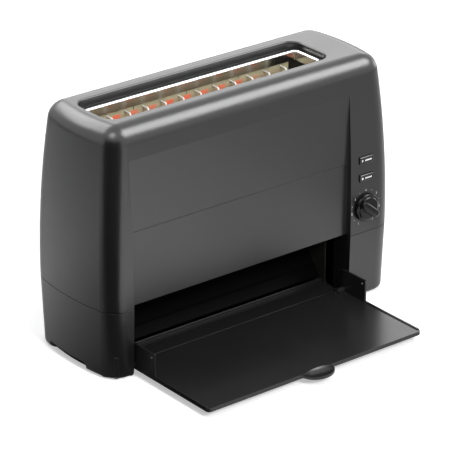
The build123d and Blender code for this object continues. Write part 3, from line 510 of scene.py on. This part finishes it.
class GeometryTree(Tree):
    """A Geometry Nodes tree with named inputs."""

    KINDS = {int: "NodeSocketInt", float: "NodeSocketFloat"}

    def __init__(self, name: str, inputs: dict[str, float | int]) -> None:
        """Starts the tree.

        Args:
            name: Name of the tree.
            inputs: Its inputs and their values.
        """
        super().__init__(bpy.data.node_groups.new(name, "GeometryNodeTree"))
        sockets = self.tree.interface
        sockets.new_socket("Geometry", in_out="INPUT", socket_type="NodeSocketGeometry")
        sockets.new_socket("Geometry", in_out="OUTPUT", socket_type="NodeSocketGeometry")
        self.values = {}
        for label, value in inputs.items():
            socket = sockets.new_socket(label, in_out="INPUT", socket_type=self.KINDS[type(value)])
            self.values[socket.identifier] = value
        self.given = self.add("NodeGroupInput").outputs

    def tube(self, path: bpy.types.NodeSocket) -> bpy.types.NodeSocket:
        """Runs a round wire along a path, from the inputs Round Steps and Wire Radius.

        Args:
            path: The wire's middle line.

        Returns:
            The wire.
        """
        ring = self.add(
            "GeometryNodeCurvePrimitiveCircle",
            {"Resolution": self.given["Round Steps"], "Radius": self.given["Wire Radius"]},
        )
        wire = self.add(
            "GeometryNodeCurveToMesh",
            {"Curve": path, "Profile Curve": ring.outputs["Curve"], "Fill Caps": True},
        )
        return wire.outputs[0]

    def grow(self, piece: bpy.types.Object, geometry: bpy.types.NodeSocket, finish: Finish) -> None:
        """Ends the tree, runs it on a piece and keeps the result as the piece's plain mesh.

        Args:
            piece: The piece that the tree starts from.
            geometry: What the tree gives.
            finish: The finish of it all.
        """
        real = self.add("GeometryNodeRealizeInstances", {"Geometry": geometry})
        dressed = self.add(
            "GeometryNodeSetMaterial", {"Geometry": real.outputs[0], "Material": finish.material()}
        )
        self.add("NodeGroupOutput", {"Geometry": dressed.outputs[0]})
        modifier = piece.modifiers.new(self.tree.name, "NODES")
        modifier.node_group = self.tree
        for identifier, value in self.values.items():
            modifier[identifier] = value
        mesh = evaluated_mesh(piece)
        piece.modifiers.clear()
        piece.data = mesh


def level_corners(low: Pair, high: Pair, level: float) -> list[Point]:
    """Gives the corners of a level rectangle from its lowest and highest X and Y."""
    plan = ((low[0], low[1]), (high[0], low[1]), (high[0], high[1]), (low[0], high[1]))
    return [(x, y, level) for x, y in plan]


def rounded_ring(centre: Vector, half: Pair, radius: float, level: float, steps: int) -> list[Point]:
    """Gives the points of a level rectangle with round corners.

    Args:
        centre: Its middle, of which X and Y count.
        half: Half its length and width.
        radius: Radius of its corners.
        level: Its height.
        steps: Points on each corner.

    Returns:
        The points, anticlockwise seen from above.
    """
    points = []
    for corner, (sign_x, sign_y) in enumerate(((1, 1), (-1, 1), (-1, -1), (1, -1))):
        x = centre.x + sign_x * (half[0] - radius)
        y = centre.y + sign_y * (half[1] - radius)
        for step in range(steps):
            turn = math.pi / 2 * (corner + step / (steps - 1))
            points.append((x + radius * math.cos(turn), y + radius * math.sin(turn), level))
    return points


def join_rings(form: bmesh.types.BMesh, rings: Sequence[Ring], capped: bool) -> None:
    """Adds rings of points to a form as one closed skin, with its faces pointing outwards.

    Args:
        form: The form.
        rings: Rings of as many points each.
        capped: Whether the first and last ring get a flat end instead of being joined to each other.
    """
    rows = [[form.verts.new(point) for point in ring] for ring in rings]
    count = len(rows[0])
    pairs = list(zip(rows, rows[1:]))
    if capped:
        form.faces.new(rows[0])
        form.faces.new(rows[-1])
    else:
        pairs.append((rows[-1], rows[0]))
    for near, far in pairs:
        for step in range(count):
            after = (step + 1) % count
            form.faces.new((near[step], near[after], far[after], far[step]))
    bmesh.ops.recalc_face_normals(form, faces=form.faces)


def formed_piece(name: str, form: bmesh.types.BMesh) -> bpy.types.Object:
    """Turns a form into a piece.

    Args:
        name: Name of the piece.
        form: The form, which is then gone.

    Returns:
        The piece.
    """
    mesh = bpy.data.meshes.new(name)
    form.to_mesh(mesh)
    form.free()
    return put_in_scene(name, mesh)


def ring_skin(name: str, rings: Sequence[Ring], capped: bool = False) -> bpy.types.Object:
    """Makes a smooth piece of one closed skin.

    Args:
        name: Name of the piece.
        rings: Rings of as many points each.
        capped: Whether the skin has flat ends.

    Returns:
        The piece.
    """
    form = bmesh.new()
    join_rings(form, rings, capped)
    piece = formed_piece(name, form)
    shade(piece.data, SKIN_SHARP_DEGREES)
    return piece


@dataclass
class SlotTrim:
    """Bright pressed rim of the toast slot: a domed bead on the recess floor and a skirt through it."""

    flange: float = 4.2 * MM
    skirt: float = 1.0 * MM
    thickness: float = 1.2 * MM
    inner_radius: float = 3.0 * MM
    dome: float = 2.2 * MM
    dome_fullness: float = 0.8
    dome_steps: int = 9
    corner_steps: int = 10

    def build(self) -> None:
        """Makes the rim in place of its CAD node."""
        low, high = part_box("slot_frame")
        centre = (low + high) / 2
        half_length = (high.x - low.x) / 2 - self.flange
        half_width = (high.y - low.y) / 2 - self.flange
        floor = high.z - self.thickness
        profile = [(self.skirt, low.z), (self.skirt, floor), (self.flange, floor)]
        for step in range(self.dome_steps):
            turn = math.pi * (step + 0.5) / self.dome_steps
            out = self.flange / 2 * (1 + math.cos(turn))
            profile.append((out, floor + self.dome * math.sin(turn) ** self.dome_fullness))
        profile.append((0.0, floor))
        profile.append((0.0, low.z))
        rings = []
        for out, level in profile:
            half = (half_length + out, half_width + out)
            rings.append(rounded_ring(centre, half, self.inner_radius + out, level, self.corner_steps))
        ready(ring_skin("slot_trim", rings), BRIGHT_STEEL, Body.CASING, Slot.FRAME, "slot_frame")


@dataclass
class ArchLinings:
    """Thin upright walls on the bottom cover that close the foot arches to the inside."""

    inset: float = 3.0 * MM
    margin: float = 20.0 * MM
    thickness: float = 1.0 * MM
    height: float = 9.0 * MM

    def build(self) -> None:
        """Makes the lining of each end."""
        low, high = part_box("bottom_cover")
        self.wall("left_arch_lining", low, high, low.x + self.inset)
        self.wall("right_arch_lining", low, high, high.x - self.inset - self.thickness)

    def wall(self, name: str, low: Vector, high: Vector, x: float) -> None:
        """Makes one lining.

        Args:
            name: Name of the piece.
            low: Lowest corner of the bottom cover.
            high: Highest corner of the bottom cover.
            x: Lowest X of the wall.
        """
        front = (x, low.y + self.margin)
        back = (x + self.thickness, high.y - self.margin)
        rings = [level_corners(front, back, level) for level in (low.z, low.z + self.height)]
        ready(ring_skin(name, rings, capped=True), CASING_BLACK, Body.CASING, Slot.CASING)


@dataclass
class GuardWires:
    """Bent wires that keep bread off the heater boards, hooked into the boards at both ends."""

    bend: float = 2.0 * MM
    lift: float = 0.8 * MM
    bend_steps: int = 5
    round_steps: int = 8
    sharp_degrees: float = 50.0

    def build(self) -> None:
        """Makes the wires of both boards."""
        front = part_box("front_mica_board")[1].y
        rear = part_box("rear_mica_board")[0].y
        self.group("front_guard_wires", "front_bent_wires", front)
        self.group("rear_guard_wires", "rear_bent_wires", rear)

    def group(self, node: str, name: str, board: float) -> None:
        """Makes one board's wires.

        Args:
            node: CAD node of the wires.
            name: Name of the piece.
            board: Y of the board's face.
        """
        boxes = islands(node)
        radius = (boxes[0][1].x - boxes[0][0].x) / 2
        points = []
        edges = []
        for low, high in boxes:
            x = (low.x + high.x) / 2
            plane = high.y - radius if board < (low.y + high.y) / 2 else low.y + radius
            top = high.z - radius + self.lift
            bottom = low.z + radius
            path = [(x, board, top), (x, plane, top), (x, plane, bottom), (x, board, bottom)]
            first = len(points)
            points.extend(path)
            edges.extend((first + run, first + run + 1) for run in range(len(path) - 1))
        wires = plain_piece(name, points, edges)
        sizes = {
            "Wire Radius": radius,
            "Bend Radius": self.bend,
            "Bend Steps": self.bend_steps,
            "Round Steps": self.round_steps,
        }
        tree = GeometryTree(f"{name}_tree", sizes)
        path = tree.add("GeometryNodeMeshToCurve", {"Mesh": tree.given["Geometry"]})
        bent = tree.add(
            "GeometryNodeFilletCurve",
            {
                "Curve": path.outputs[0],
                "Count": tree.given["Bend Steps"],
                "Radius": tree.given["Bend Radius"],
                "Limit Radius": True,
            },
            mode="POLY",
        )
        tree.grow(wires, tree.tube(bent.outputs[0]), WHITE_WIRE_PAINTED_GLINT)
        shade(wires.data, self.sharp_degrees)
        ready(wires, WHITE_WIRE_PAINTED_GLINT, Body.CASING, Slot.WIRE, node)


@dataclass
class ReturnSpring:
    """Coil spring round the solenoid's plunger."""

    wire: float = 0.6 * MM
    turns: float = 7.0
    turn_steps: int = 24
    round_steps: int = 8
    sharp_degrees: float = 50.0

    def build(self) -> None:
        """Makes the spring in place of its CAD sleeve."""
        low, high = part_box("plunger_spring")
        middle = (low + high) / 2
        length = high.z - low.z
        spring = put_in_scene("return_spring", bpy.data.meshes.new("return_spring"))
        sizes = {
            "Wire Radius": self.wire,
            "Coil Radius": (high.x - low.x) / 2 - self.wire,
            "Length": length - 2 * self.wire,
            "Turns": self.turns,
            "Turn Steps": self.turn_steps,
            "Round Steps": self.round_steps,
        }
        tree = GeometryTree("return_spring_tree", sizes)
        coil = tree.add(
            "GeometryNodeCurveSpiral",
            {
                "Resolution": tree.given["Turn Steps"],
                "Rotations": tree.given["Turns"],
                "Start Radius": tree.given["Coil Radius"],
                "End Radius": tree.given["Coil Radius"],
                "Height": tree.given["Length"],
            },
        )
        tree.grow(spring, tree.tube(coil.outputs[0]), SCREW_STEEL)
        spring.data.transform(Matrix.Translation((middle.x, middle.y, low.z + self.wire)))
        shade(spring.data, self.sharp_degrees)
        ready(spring, SCREW_STEEL, Body.CASING, Slot.SCREW, "plunger_spring")
        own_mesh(spring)


@dataclass
class Knob:
    """Browning knob: a round skirt and hub with a tapering grip bar across.

    In millimetres. The skirt has pairs of radius and depth, the grip's half section of width and depth.
    """

    angle: float = -50.0
    skirt: tuple[Pair, ...] = (
        (15.0, 0.0), (15.0, 1.7), (14.8, 2.3), (14.3, 2.9), (13.5, 3.3), (12.7, 3.5), (12.2, 3.7),
        (11.9, 4.1), (11.6, 4.6), (11.0, 4.9), (10.2, 5.0),
    )
    skirt_steps: int = 56
    section: tuple[Pair, ...] = (
        (5.6, 4.4), (4.6, 6.2), (3.9, 7.9), (3.4, 8.7), (2.6, 9.2), (1.4, 9.45), (0.0, 9.5),
    )
    grip_half: float = 13.6
    grip_steps: int = 25
    end_narrowing: float = 0.35
    end_lowering: float = 0.22
    sharp_degrees: float = 50.0

    def __post_init__(self) -> None:
        """Finds the middle of the knob's back."""
        low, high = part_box("browning_knob")
        self.back = Vector(((low.x + high.x) / 2, high.y, (low.z + high.z) / 2))

    def build(self) -> None:
        """Makes the knob in place of its CAD node."""
        form = bmesh.new()
        join_rings(form, self.skirt_rings(), capped=True)
        join_rings(form, self.grip_rings(), capped=True)
        knob = formed_piece("dial_knob", form)
        shade(knob.data, self.sharp_degrees)
        ready(knob, KNOB_BLACK, Body.KNOB, Slot.KNOB, "browning_knob")

    def point(self, along: float, across: float, depth: float) -> Vector:
        """Gives a point of the knob.

        Args:
            along: Distance along the grip.
            across: Distance across the grip.
            depth: Distance in front of the knob's back.

        Returns:
            The point in the scene.
        """
        turn = math.radians(self.angle)
        x = along * math.sin(turn) + across * math.cos(turn)
        z = along * math.cos(turn) - across * math.sin(turn)
        return self.back + MM * Vector((x, -depth, z))

    def skirt_rings(self) -> list[list[Vector]]:
        """Gives the skirt and hub as circles about the axis.

        Returns:
            The circles' points.
        """
        turns = [2 * math.pi * step / self.skirt_steps for step in range(self.skirt_steps)]
        rings = []
        for radius, depth in self.skirt:
            rings.append([self.point(radius * math.cos(t), radius * math.sin(t), depth) for t in turns])
        return rings

    def grip_rings(self) -> list[list[Vector]]:
        """Gives the grip bar as sections along its length, drawn in at both round ends.

        Returns:
            The sections' points.
        """
        section = [(-w, d) for w, d in self.section] + [(w, d) for w, d in reversed(self.section[:-1])]
        foot = self.section[0][1]
        rings = []
        for step in range(self.grip_steps):
            turn = math.pi * (step + 0.5) / self.grip_steps
            along = -self.grip_half * math.cos(turn)
            narrow = math.sin(turn) ** self.end_narrowing
            low = math.sin(turn) ** self.end_lowering
            rings.append([self.point(along, w * narrow, foot + (d - foot) * low) for w, d in section])
        return rings


@dataclass
class ButtonCaps:
    """Push buttons with rounded faces, a flange behind the wall and a stem."""

    half: Pair = (9.0 * MM, 3.65 * MM)
    corner: float = 1.0 * MM
    corner_steps: int = 6
    edge: float = 1.3 * MM
    edge_steps: int = 6
    flange_depth: float = 6.0 * MM
    flange_thickness: float = 1.2 * MM
    stem: float = 2.0 * MM

    def build(self) -> None:
        """Makes both buttons."""
        self.button("start_button", "start_cap", Body.START)
        self.button("stop_button", "stop_cap", Body.STOP)

    def button(self, node: str, name: str, body: Body) -> None:
        """Makes one button in place of its CAD node.

        Args:
            node: Its CAD node.
            name: Name of the piece.
            body: The button's body.
        """
        low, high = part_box(node)
        centre = (low + high) / 2
        flange = ((high.x - low.x) / 2, (high.z - low.z) / 2)
        flange_back = self.flange_depth + self.flange_thickness
        stem = (self.stem, self.stem)
        rows = [
            (stem, high.y - low.y),
            (stem, flange_back),
            (flange, flange_back),
            (flange, self.flange_depth),
            (self.half, self.flange_depth),
        ]
        for step in range(self.edge_steps + 1):
            turn = math.pi / 2 * step / self.edge_steps
            inset = self.edge * (1 - math.cos(turn))
            face = (self.half[0] - inset, self.half[1] - inset)
            rows.append((face, self.edge * (1 - math.sin(turn))))
        rings = []
        for half, depth in rows:
            flat = rounded_ring(Vector(), half, self.corner, 0.0, self.corner_steps)
            rings.append([(centre.x + x, low.y + depth, centre.z + z) for x, z, _ in flat])
        ready(ring_skin(name, rings, capped=True), BUTTON_BLACK, body, Slot.CASING, node)


@dataclass
class Controls:
    """Marks of the dial and the buttons, on the faces that carry them."""

    numbers: int = 7
    sweep: float = 150.0
    ring: float = 18.6 * MM
    ray_start: float = 1.0
    digit_height: float = 3.6 * MM
    digit_merge: float = 0.001 * MM
    dot_radius: float = 0.45 * MM
    dot_steps: int = 12
    mark_depth: float = 0.12 * MM
    icon: float = 3.4 * MM
    bar_length: float = 8.5 * MM
    bar_height: float = 1.6 * MM

    def __post_init__(self) -> None:
        """Finds the dial's middle and the casing's faces."""
        low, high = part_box("browning_knob")
        self.centre = (low + high) / 2
        casing = NODES["upper_housing"].data
        corners = [vert.co for vert in casing.vertices]
        self.faces = BVHTree.FromPolygons(corners, [face.vertices for face in casing.polygons])

    def build(self) -> None:
        """Makes the dial's numbers and dots, and the buttons' marks."""
        self.dial_numbers()
        self.dial_dots()
        self.button_mark("start_button", "start_mark", Body.START, Sign.TRIANGLE)
        self.button_mark("stop_button", "stop_mark", Body.STOP, Sign.SQUARE)

    def place(self, position: float) -> Point:
        """Finds a place of the dial's ring on the casing's face.

        Args:
            position: The number that it is at, counted from 0, with halves between the numbers.

        Returns:
            The point.
        """
        turn = math.radians(-self.sweep + position * 2 * self.sweep / (self.numbers - 1))
        x = self.centre.x + self.ring * math.sin(turn)
        z = self.centre.z + self.ring * math.cos(turn)
        start = Vector((x, CAD_BOX[0][1] - self.ray_start, z))
        hit = self.faces.ray_cast(start, Vector((0, 1, 0)))
        return x, hit[0].y, z

    def dial_numbers(self) -> None:
        """Makes the upright numbers around the knob."""
        form = bmesh.new()
        upright = Matrix.Rotation(math.pi / 2, 4, "X")
        for number in range(self.numbers):
            words = bpy.data.curves.new("digit", "FONT")
            words.body = str(number + 1)
            words.size = self.digit_height
            words.align_x = "CENTER"
            words.align_y = "CENTER"
            words.extrude = self.mark_depth / 2
            digit = put_in_scene("digit", words)
            mesh = evaluated_mesh(digit)
            bpy.data.objects.remove(digit)
            mesh.transform(Matrix.Translation(self.place(number)) @ upright)
            form.from_mesh(mesh)
        bmesh.ops.remove_doubles(form, verts=form.verts, dist=self.digit_merge)
        ready(formed_piece("dial_numbers", form), MARK_WHITE, Body.CASING, Slot.CASING)

    def dial_dots(self) -> None:
        """Makes a round dot between each two numbers."""
        dots = plain_piece("dial_dots", [self.place(number + 0.5) for number in range(self.numbers - 1)])
        sizes = {"Dot Radius": self.dot_radius, "Dot Depth": self.mark_depth, "Dot Steps": self.dot_steps}
        tree = GeometryTree("round_dots", sizes)
        disc = tree.add(
            "GeometryNodeMeshCylinder",
            {
                "Vertices": tree.given["Dot Steps"],
                "Radius": tree.given["Dot Radius"],
                "Depth": tree.given["Dot Depth"],
            },
        )
        spread = tree.add(
            "GeometryNodeInstanceOnPoints",
            {
                "Points": tree.given["Geometry"],
                "Instance": disc.outputs["Mesh"],
                "Rotation": (math.pi / 2, 0.0, 0.0),
            },
        )
        tree.grow(dots, spread.outputs["Instances"], MARK_WHITE)
        ready(dots, MARK_WHITE, Body.CASING, Slot.CASING)

    def button_mark(self, node: str, name: str, body: Body, sign: Sign) -> None:
        """Makes a plain sign and a bar on a button's face.

        Args:
            node: The button's CAD node.
            name: Name of the mark.
            body: The button's body.
            sign: The sign, of which a triangle points to the right and a square lies flat.
        """
        low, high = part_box(node)
        middle = (low + high) / 2
        left = middle.x - (self.icon + self.bar_length) / 2
        first = 0.0 if sign is Sign.TRIANGLE else math.pi / sign.value
        turns = [first + 2 * math.pi * corner / sign.value for corner in range(sign.value)]
        reach = self.icon / 2
        icon = [(left + reach * math.cos(turn), middle.z + reach * math.sin(turn)) for turn in turns]
        bar_low = (left + self.icon, middle.z - self.bar_height / 2)
        bar_high = (bar_low[0] + self.bar_length, bar_low[1] + self.bar_height)
        bar = [(x, z) for x, z, _ in level_corners(bar_low, bar_high, 0.0)]
        front = low.y - self.mark_depth / 2
        form = bmesh.new()
        for outline in (icon, bar):
            rings = [[(x, y, z) for x, z in outline] for y in (front, front + self.mark_depth)]
            join_rings(form, rings, capped=True)
        ready(formed_piece(name, form), MARK_WHITE, body, Slot.CASING)


@dataclass
class Fasteners:
    """Cross-head screws of the underside."""

    head_sides: int = 24
    recess_width: float = 0.9 * MM
    recess_reach: float = 3.8 * MM
    recess_depth: float = 1.1 * MM
    shank_radius: float = 1.5 * MM
    sharp_degrees: float = 32.0

    def build(self) -> None:
        """Makes the screws of the bottom cover and of the chassis."""
        self.group("cover_screws", "cover_cross_screws")
        self.group("chassis_screws", "chassis_cross_screws")

    def group(self, node: str, name: str) -> None:
        """Makes the screws of one CAD node, with heads that hang below the bottom cover.

        Args:
            node: The node that they replace.
            name: Name of the piece.
        """
        boxes = islands(node)
        low, high = boxes[0]
        screws = plain_piece(name, [((a.x + b.x) / 2, (a.y + b.y) / 2, a.z) for a, b in boxes])
        sizes = {
            "Head Sides": self.head_sides,
            "Head Radius": (high.x - low.x) / 2,
            "Head Height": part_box("bottom_cover")[0].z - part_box(node)[0].z,
            "Shank Radius": self.shank_radius,
            "Length": high.z - low.z,
            "Recess Width": self.recess_width,
            "Recess Reach": self.recess_reach,
            "Recess Depth": self.recess_depth,
        }
        tree = GeometryTree(f"{name}_tree", sizes)
        given = tree.given
        whole = tree.add("GeometryNodeMeshBoolean", operation="UNION")
        tree.link(self.bar(tree, given["Head Radius"], given["Head Height"]), whole.inputs[1])
        tree.link(self.bar(tree, given["Shank Radius"], given["Length"]), whole.inputs[1])
        # The two bars of the cross are centred on the head's face, so half their height is cut.
        cross = tree.add("GeometryNodeJoinGeometry")
        height = tree.math("MULTIPLY", given["Recess Depth"], 2.0)
        for x, y in (("Recess Width", "Recess Reach"), ("Recess Reach", "Recess Width")):
            size = tree.add("ShaderNodeCombineXYZ", {"X": given[x], "Y": given[y], "Z": height})
            cube = tree.add("GeometryNodeMeshCube", {"Size": size.outputs[0]})
            tree.link(cube.outputs["Mesh"], cross.inputs[0])
        cut = tree.add("GeometryNodeMeshBoolean", {"Mesh 1": whole.outputs[0]}, operation="DIFFERENCE")
        tree.link(cross.outputs[0], cut.inputs[1])
        spread = tree.add(
            "GeometryNodeInstanceOnPoints", {"Points": given["Geometry"], "Instance": cut.outputs[0]}
        )
        tree.grow(screws, spread.outputs["Instances"], SCREW_STEEL)
        shade(screws.data, self.sharp_degrees)
        ready(screws, SCREW_STEEL, Body.CASING, Slot.SCREW, node)

    def bar(
        self, tree: GeometryTree, radius: bpy.types.NodeSocket, length: bpy.types.NodeSocket
    ) -> bpy.types.NodeSocket:
        """Adds an upright round bar that starts at the origin.

        Args:
            tree: The tree.
            radius: Its radius.
            length: Its length.

        Returns:
            Its mesh.
        """
        made = tree.add(
            "GeometryNodeMeshCylinder",
            {"Vertices": tree.given["Head Sides"], "Radius": radius, "Depth": length},
        )
        lift = tree.add("ShaderNodeCombineXYZ", {"Z": tree.math("MULTIPLY", length, 0.5)})
        moved = tree.add(
            "GeometryNodeTransform", {"Geometry": made.outputs["Mesh"], "Translation": lift.outputs[0]}
        )
        return moved.outputs[0]


@dataclass(frozen=True)
class Lamp:
    """A soft rectangular lamp, whose beam opens by an angle in degrees."""

    name: str
    place: Point
    size: Pair
    power: float
    role: Role
    aim: Point = (0.0, 0.05, 0.12)
    beam: float = 180.0

    def build(self) -> None:
        """Makes the lamp, facing its aim."""
        data = bpy.data.lights.new(self.name, "AREA")
        data.shape = "RECTANGLE"
        data.size, data.size_y = self.size
        data.energy = self.power
        data.spread = math.radians(self.beam)
        lamp = put_in_scene(self.name, data)
        lamp.location = self.place
        lamp.rotation_mode = "QUATERNION"
        lamp.rotation_quaternion = (Vector(self.aim) - Vector(self.place)).to_track_quat("-Z", "Y")
        lamp.visible_camera = False
        lamp.visible_diffuse = self.role is Role.SPREAD
        lamp.visible_glossy = self.role is Role.HIGHLIGHT


@dataclass(frozen=True)
class Card:
    """A flat card of the studio, seen in reflections alone.

    A fade runs from black at its first Y to the card's brightness at its second.
    """

    name: str
    corners: tuple[Point, ...]
    brightness: float = 0.0
    fade: Pair | None = None

    def build(self) -> None:
        """Makes the card and stages it."""
        card = plain_piece(self.name, self.corners, faces=[range(len(self.corners))])
        made = bpy.data.materials.new(self.name)
        tree = empty_tree(made)
        shine = tree.add("ShaderNodeEmission", {"Color": (1, 1, 1, 1), "Strength": self.brightness})
        if self.fade:
            place = tree.add("ShaderNodeTexCoord").outputs["Object"]
            split = tree.add("ShaderNodeSeparateXYZ", {"Vector": place})
            level = tree.ranged(split.outputs["Y"], self.fade, (0.0, self.brightness))
            tree.link(level, shine.inputs["Strength"])
        tree.add("ShaderNodeOutputMaterial", {"Surface": shine.outputs[0]})
        card.data.materials.append(made)
        card.visible_camera = False
        card.visible_diffuse = False
        card.visible_shadow = False
        card.visible_transmission = False


def lying(
    name: str, low: Pair, high: Pair, level: float, brightness: float, fade: Pair | None = None
) -> Card:
    """Gives a card that lies level, from its lowest and highest X and Y."""
    return Card(name, tuple(level_corners(low, high, level)), brightness, fade)


def standing(name: str, start: Pair, end: Pair, height: float) -> Card:
    """Gives a black card that stands on the floor, from the X and Y of its two ends."""
    return Card(name, ((*start, 0.0), (*end, 0.0), (*end, height), (*start, height)))


@dataclass
class Studio:
    """Camera, floor, lamps and cards."""

    lens: float = 229.76
    yaw: float = math.radians(38.318)
    pitch: float = math.radians(24.334)
    distance: float = 2.816512
    target: Point = (-0.03821, -0.0010, 0.130158)
    view_reach: float = 50.0
    floor_half: float = 6.0
    floor_grey: float = 0.8
    floor_roughness: float = 0.9
    floor_glow: float = 0.45
    world_light: float = 0.25
    cards: tuple[Card, ...] = (
        lying("black_floor_card", (-1.3, -1.3), (-0.15, 0.26), 0.002, 0.9, (-0.02, 0.26)),
        standing("black_left_card", (-1.2, 0.1), (-1.1, -0.7), 0.9),
        standing("black_middle_card", (-1.1, -0.7), (-0.7, -1.1), 0.9),
        standing("black_front_card", (-0.7, -1.1), (-0.25, -1.2), 0.9),
        lying("grey_floor_card", (0.26, -1.4), (1.6, -0.08), 0.002, 0.62),
        lying("white_floor_card", (-0.2, -0.6), (0.11, -0.14), 0.003, 1.4),
    )
    lamps: tuple[Lamp, ...] = (
        Lamp("overhead", (0.05, -0.1, 1.6), (1.9, 1.0), 20.0, Role.SPREAD),
        Lamp("front_top", (-0.2, -1.9, 1.5), (0.6, 0.6), 40.0, Role.SPREAD),
        Lamp(
            "slot_light", (-0.1, -0.66, 0.595), (0.4, 0.08), 0.42, Role.SPREAD,
            aim=(-0.014, 0.085, 0.24), beam=50.0,
        ),
        Lamp(
            "slot_back", (-0.05, 0.62, 0.6), (0.4, 0.12), 0.3, Role.SPREAD,
            aim=(-0.014, 0.05, 0.235), beam=50.0,
        ),
        Lamp("key", (1.1, -0.68, 1.7), (1.3, 1.0), 32.0, Role.HIGHLIGHT),
        Lamp("top_left", (-0.75, -0.35, 1.6), (0.6, 0.6), 6.5, Role.HIGHLIGHT),
        Lamp("back_top", (-0.3, 1.7, 1.7), (2.0, 1.0), 30.0, Role.HIGHLIGHT),
        Lamp("back_right", (1.7, 1.9, 1.1), (1.6, 1.0), 9.5, Role.HIGHLIGHT),
        Lamp("right_edge", (1.71, 0.27, 0.24), (0.5, 0.4), 2.0, Role.HIGHLIGHT),
    )

    def build(self) -> None:
        """Makes the camera, floor, cards, lamps and world."""
        self.camera()
        self.floor()
        for item in (*self.cards, *self.lamps):
            item.build()
        self.world()
        bpy.context.scene.view_settings.view_transform = "Standard"

    def camera(self) -> None:
        """Makes the camera at the photograph's viewing angle."""
        lens = bpy.data.cameras.new("camera")
        lens.lens = self.lens
        lens.clip_end = self.view_reach
        level = math.cos(self.pitch)
        forward = Vector((math.sin(self.yaw) * level, math.cos(self.yaw) * level, -math.sin(self.pitch)))
        camera = put_in_scene("camera", lens)
        camera.location = Vector(self.target) - self.distance * forward
        camera.rotation_mode = "QUATERNION"
        camera.rotation_quaternion = forward.to_track_quat("-Z", "Y")
        bpy.context.scene.camera = camera

    def floor(self) -> None:
        """Makes the pale floor, white to the camera."""
        half = self.floor_half
        corners = level_corners((-half, -half), (half, half), 0.0)
        floor = plain_piece("floor", corners, faces=[range(len(corners))])
        made = bpy.data.materials.new("pale_floor")
        tree = empty_tree(made)
        ray = tree.add("ShaderNodeLightPath")
        shader = tree.add(
            "ShaderNodeBsdfPrincipled",
            {
                "Base Color": (self.floor_grey, self.floor_grey, self.floor_grey, 1),
                "Roughness": self.floor_roughness,
                "Specular IOR Level": 0.0,
                "Emission Color": (1, 1, 1, 1),
                "Emission Strength": tree.math("MULTIPLY", ray.outputs["Is Camera Ray"], self.floor_glow),
            },
        )
        tree.add("ShaderNodeOutputMaterial", {"Surface": shader.outputs[0]})
        floor.data.materials.append(made)

    def world(self) -> None:
        """Sets a white background, and a lower level for the light that it gives."""
        world = bpy.data.worlds.new("white_studio")
        bpy.context.scene.world = world
        tree = empty_tree(world)
        ray = tree.add("ShaderNodeLightPath")
        seen = tree.math("MAXIMUM", ray.outputs["Is Camera Ray"], ray.outputs["Is Glossy Ray"])
        seen = tree.math("MAXIMUM", seen, ray.outputs["Is Transmission Ray"])
        level = tree.ranged(seen, (0.0, 1.0), (self.world_light, 1.0))
        back = tree.add("ShaderNodeBackground", {"Color": (1, 1, 1, 1), "Strength": level})
        tree.add("ShaderNodeOutputWorld", {"Surface": back.outputs[0]})


def dress_nodes() -> None:
    """Gives every CAD node its finish."""
    for finish, names in NODE_FINISHES.items():
        for name in names:
            finish.put_on(NODES[name])
        LOG.info("%s on %d nodes", finish.name, len(names))


def main() -> None:
    """Builds the studio and the toaster's looks."""
    logging.basicConfig(level=logging.INFO, format="%(message)s")
    Studio().build()
    dress_nodes()
    assemblies = (
        SlotTrim(),
        ArchLinings(),
        GuardWires(),
        ReturnSpring(),
        Knob(),
        ButtonCaps(),
        Controls(),
        Fasteners(),
    )
    for assembly in assemblies:
        assembly.build()


if __name__ == "__main__":
    main()
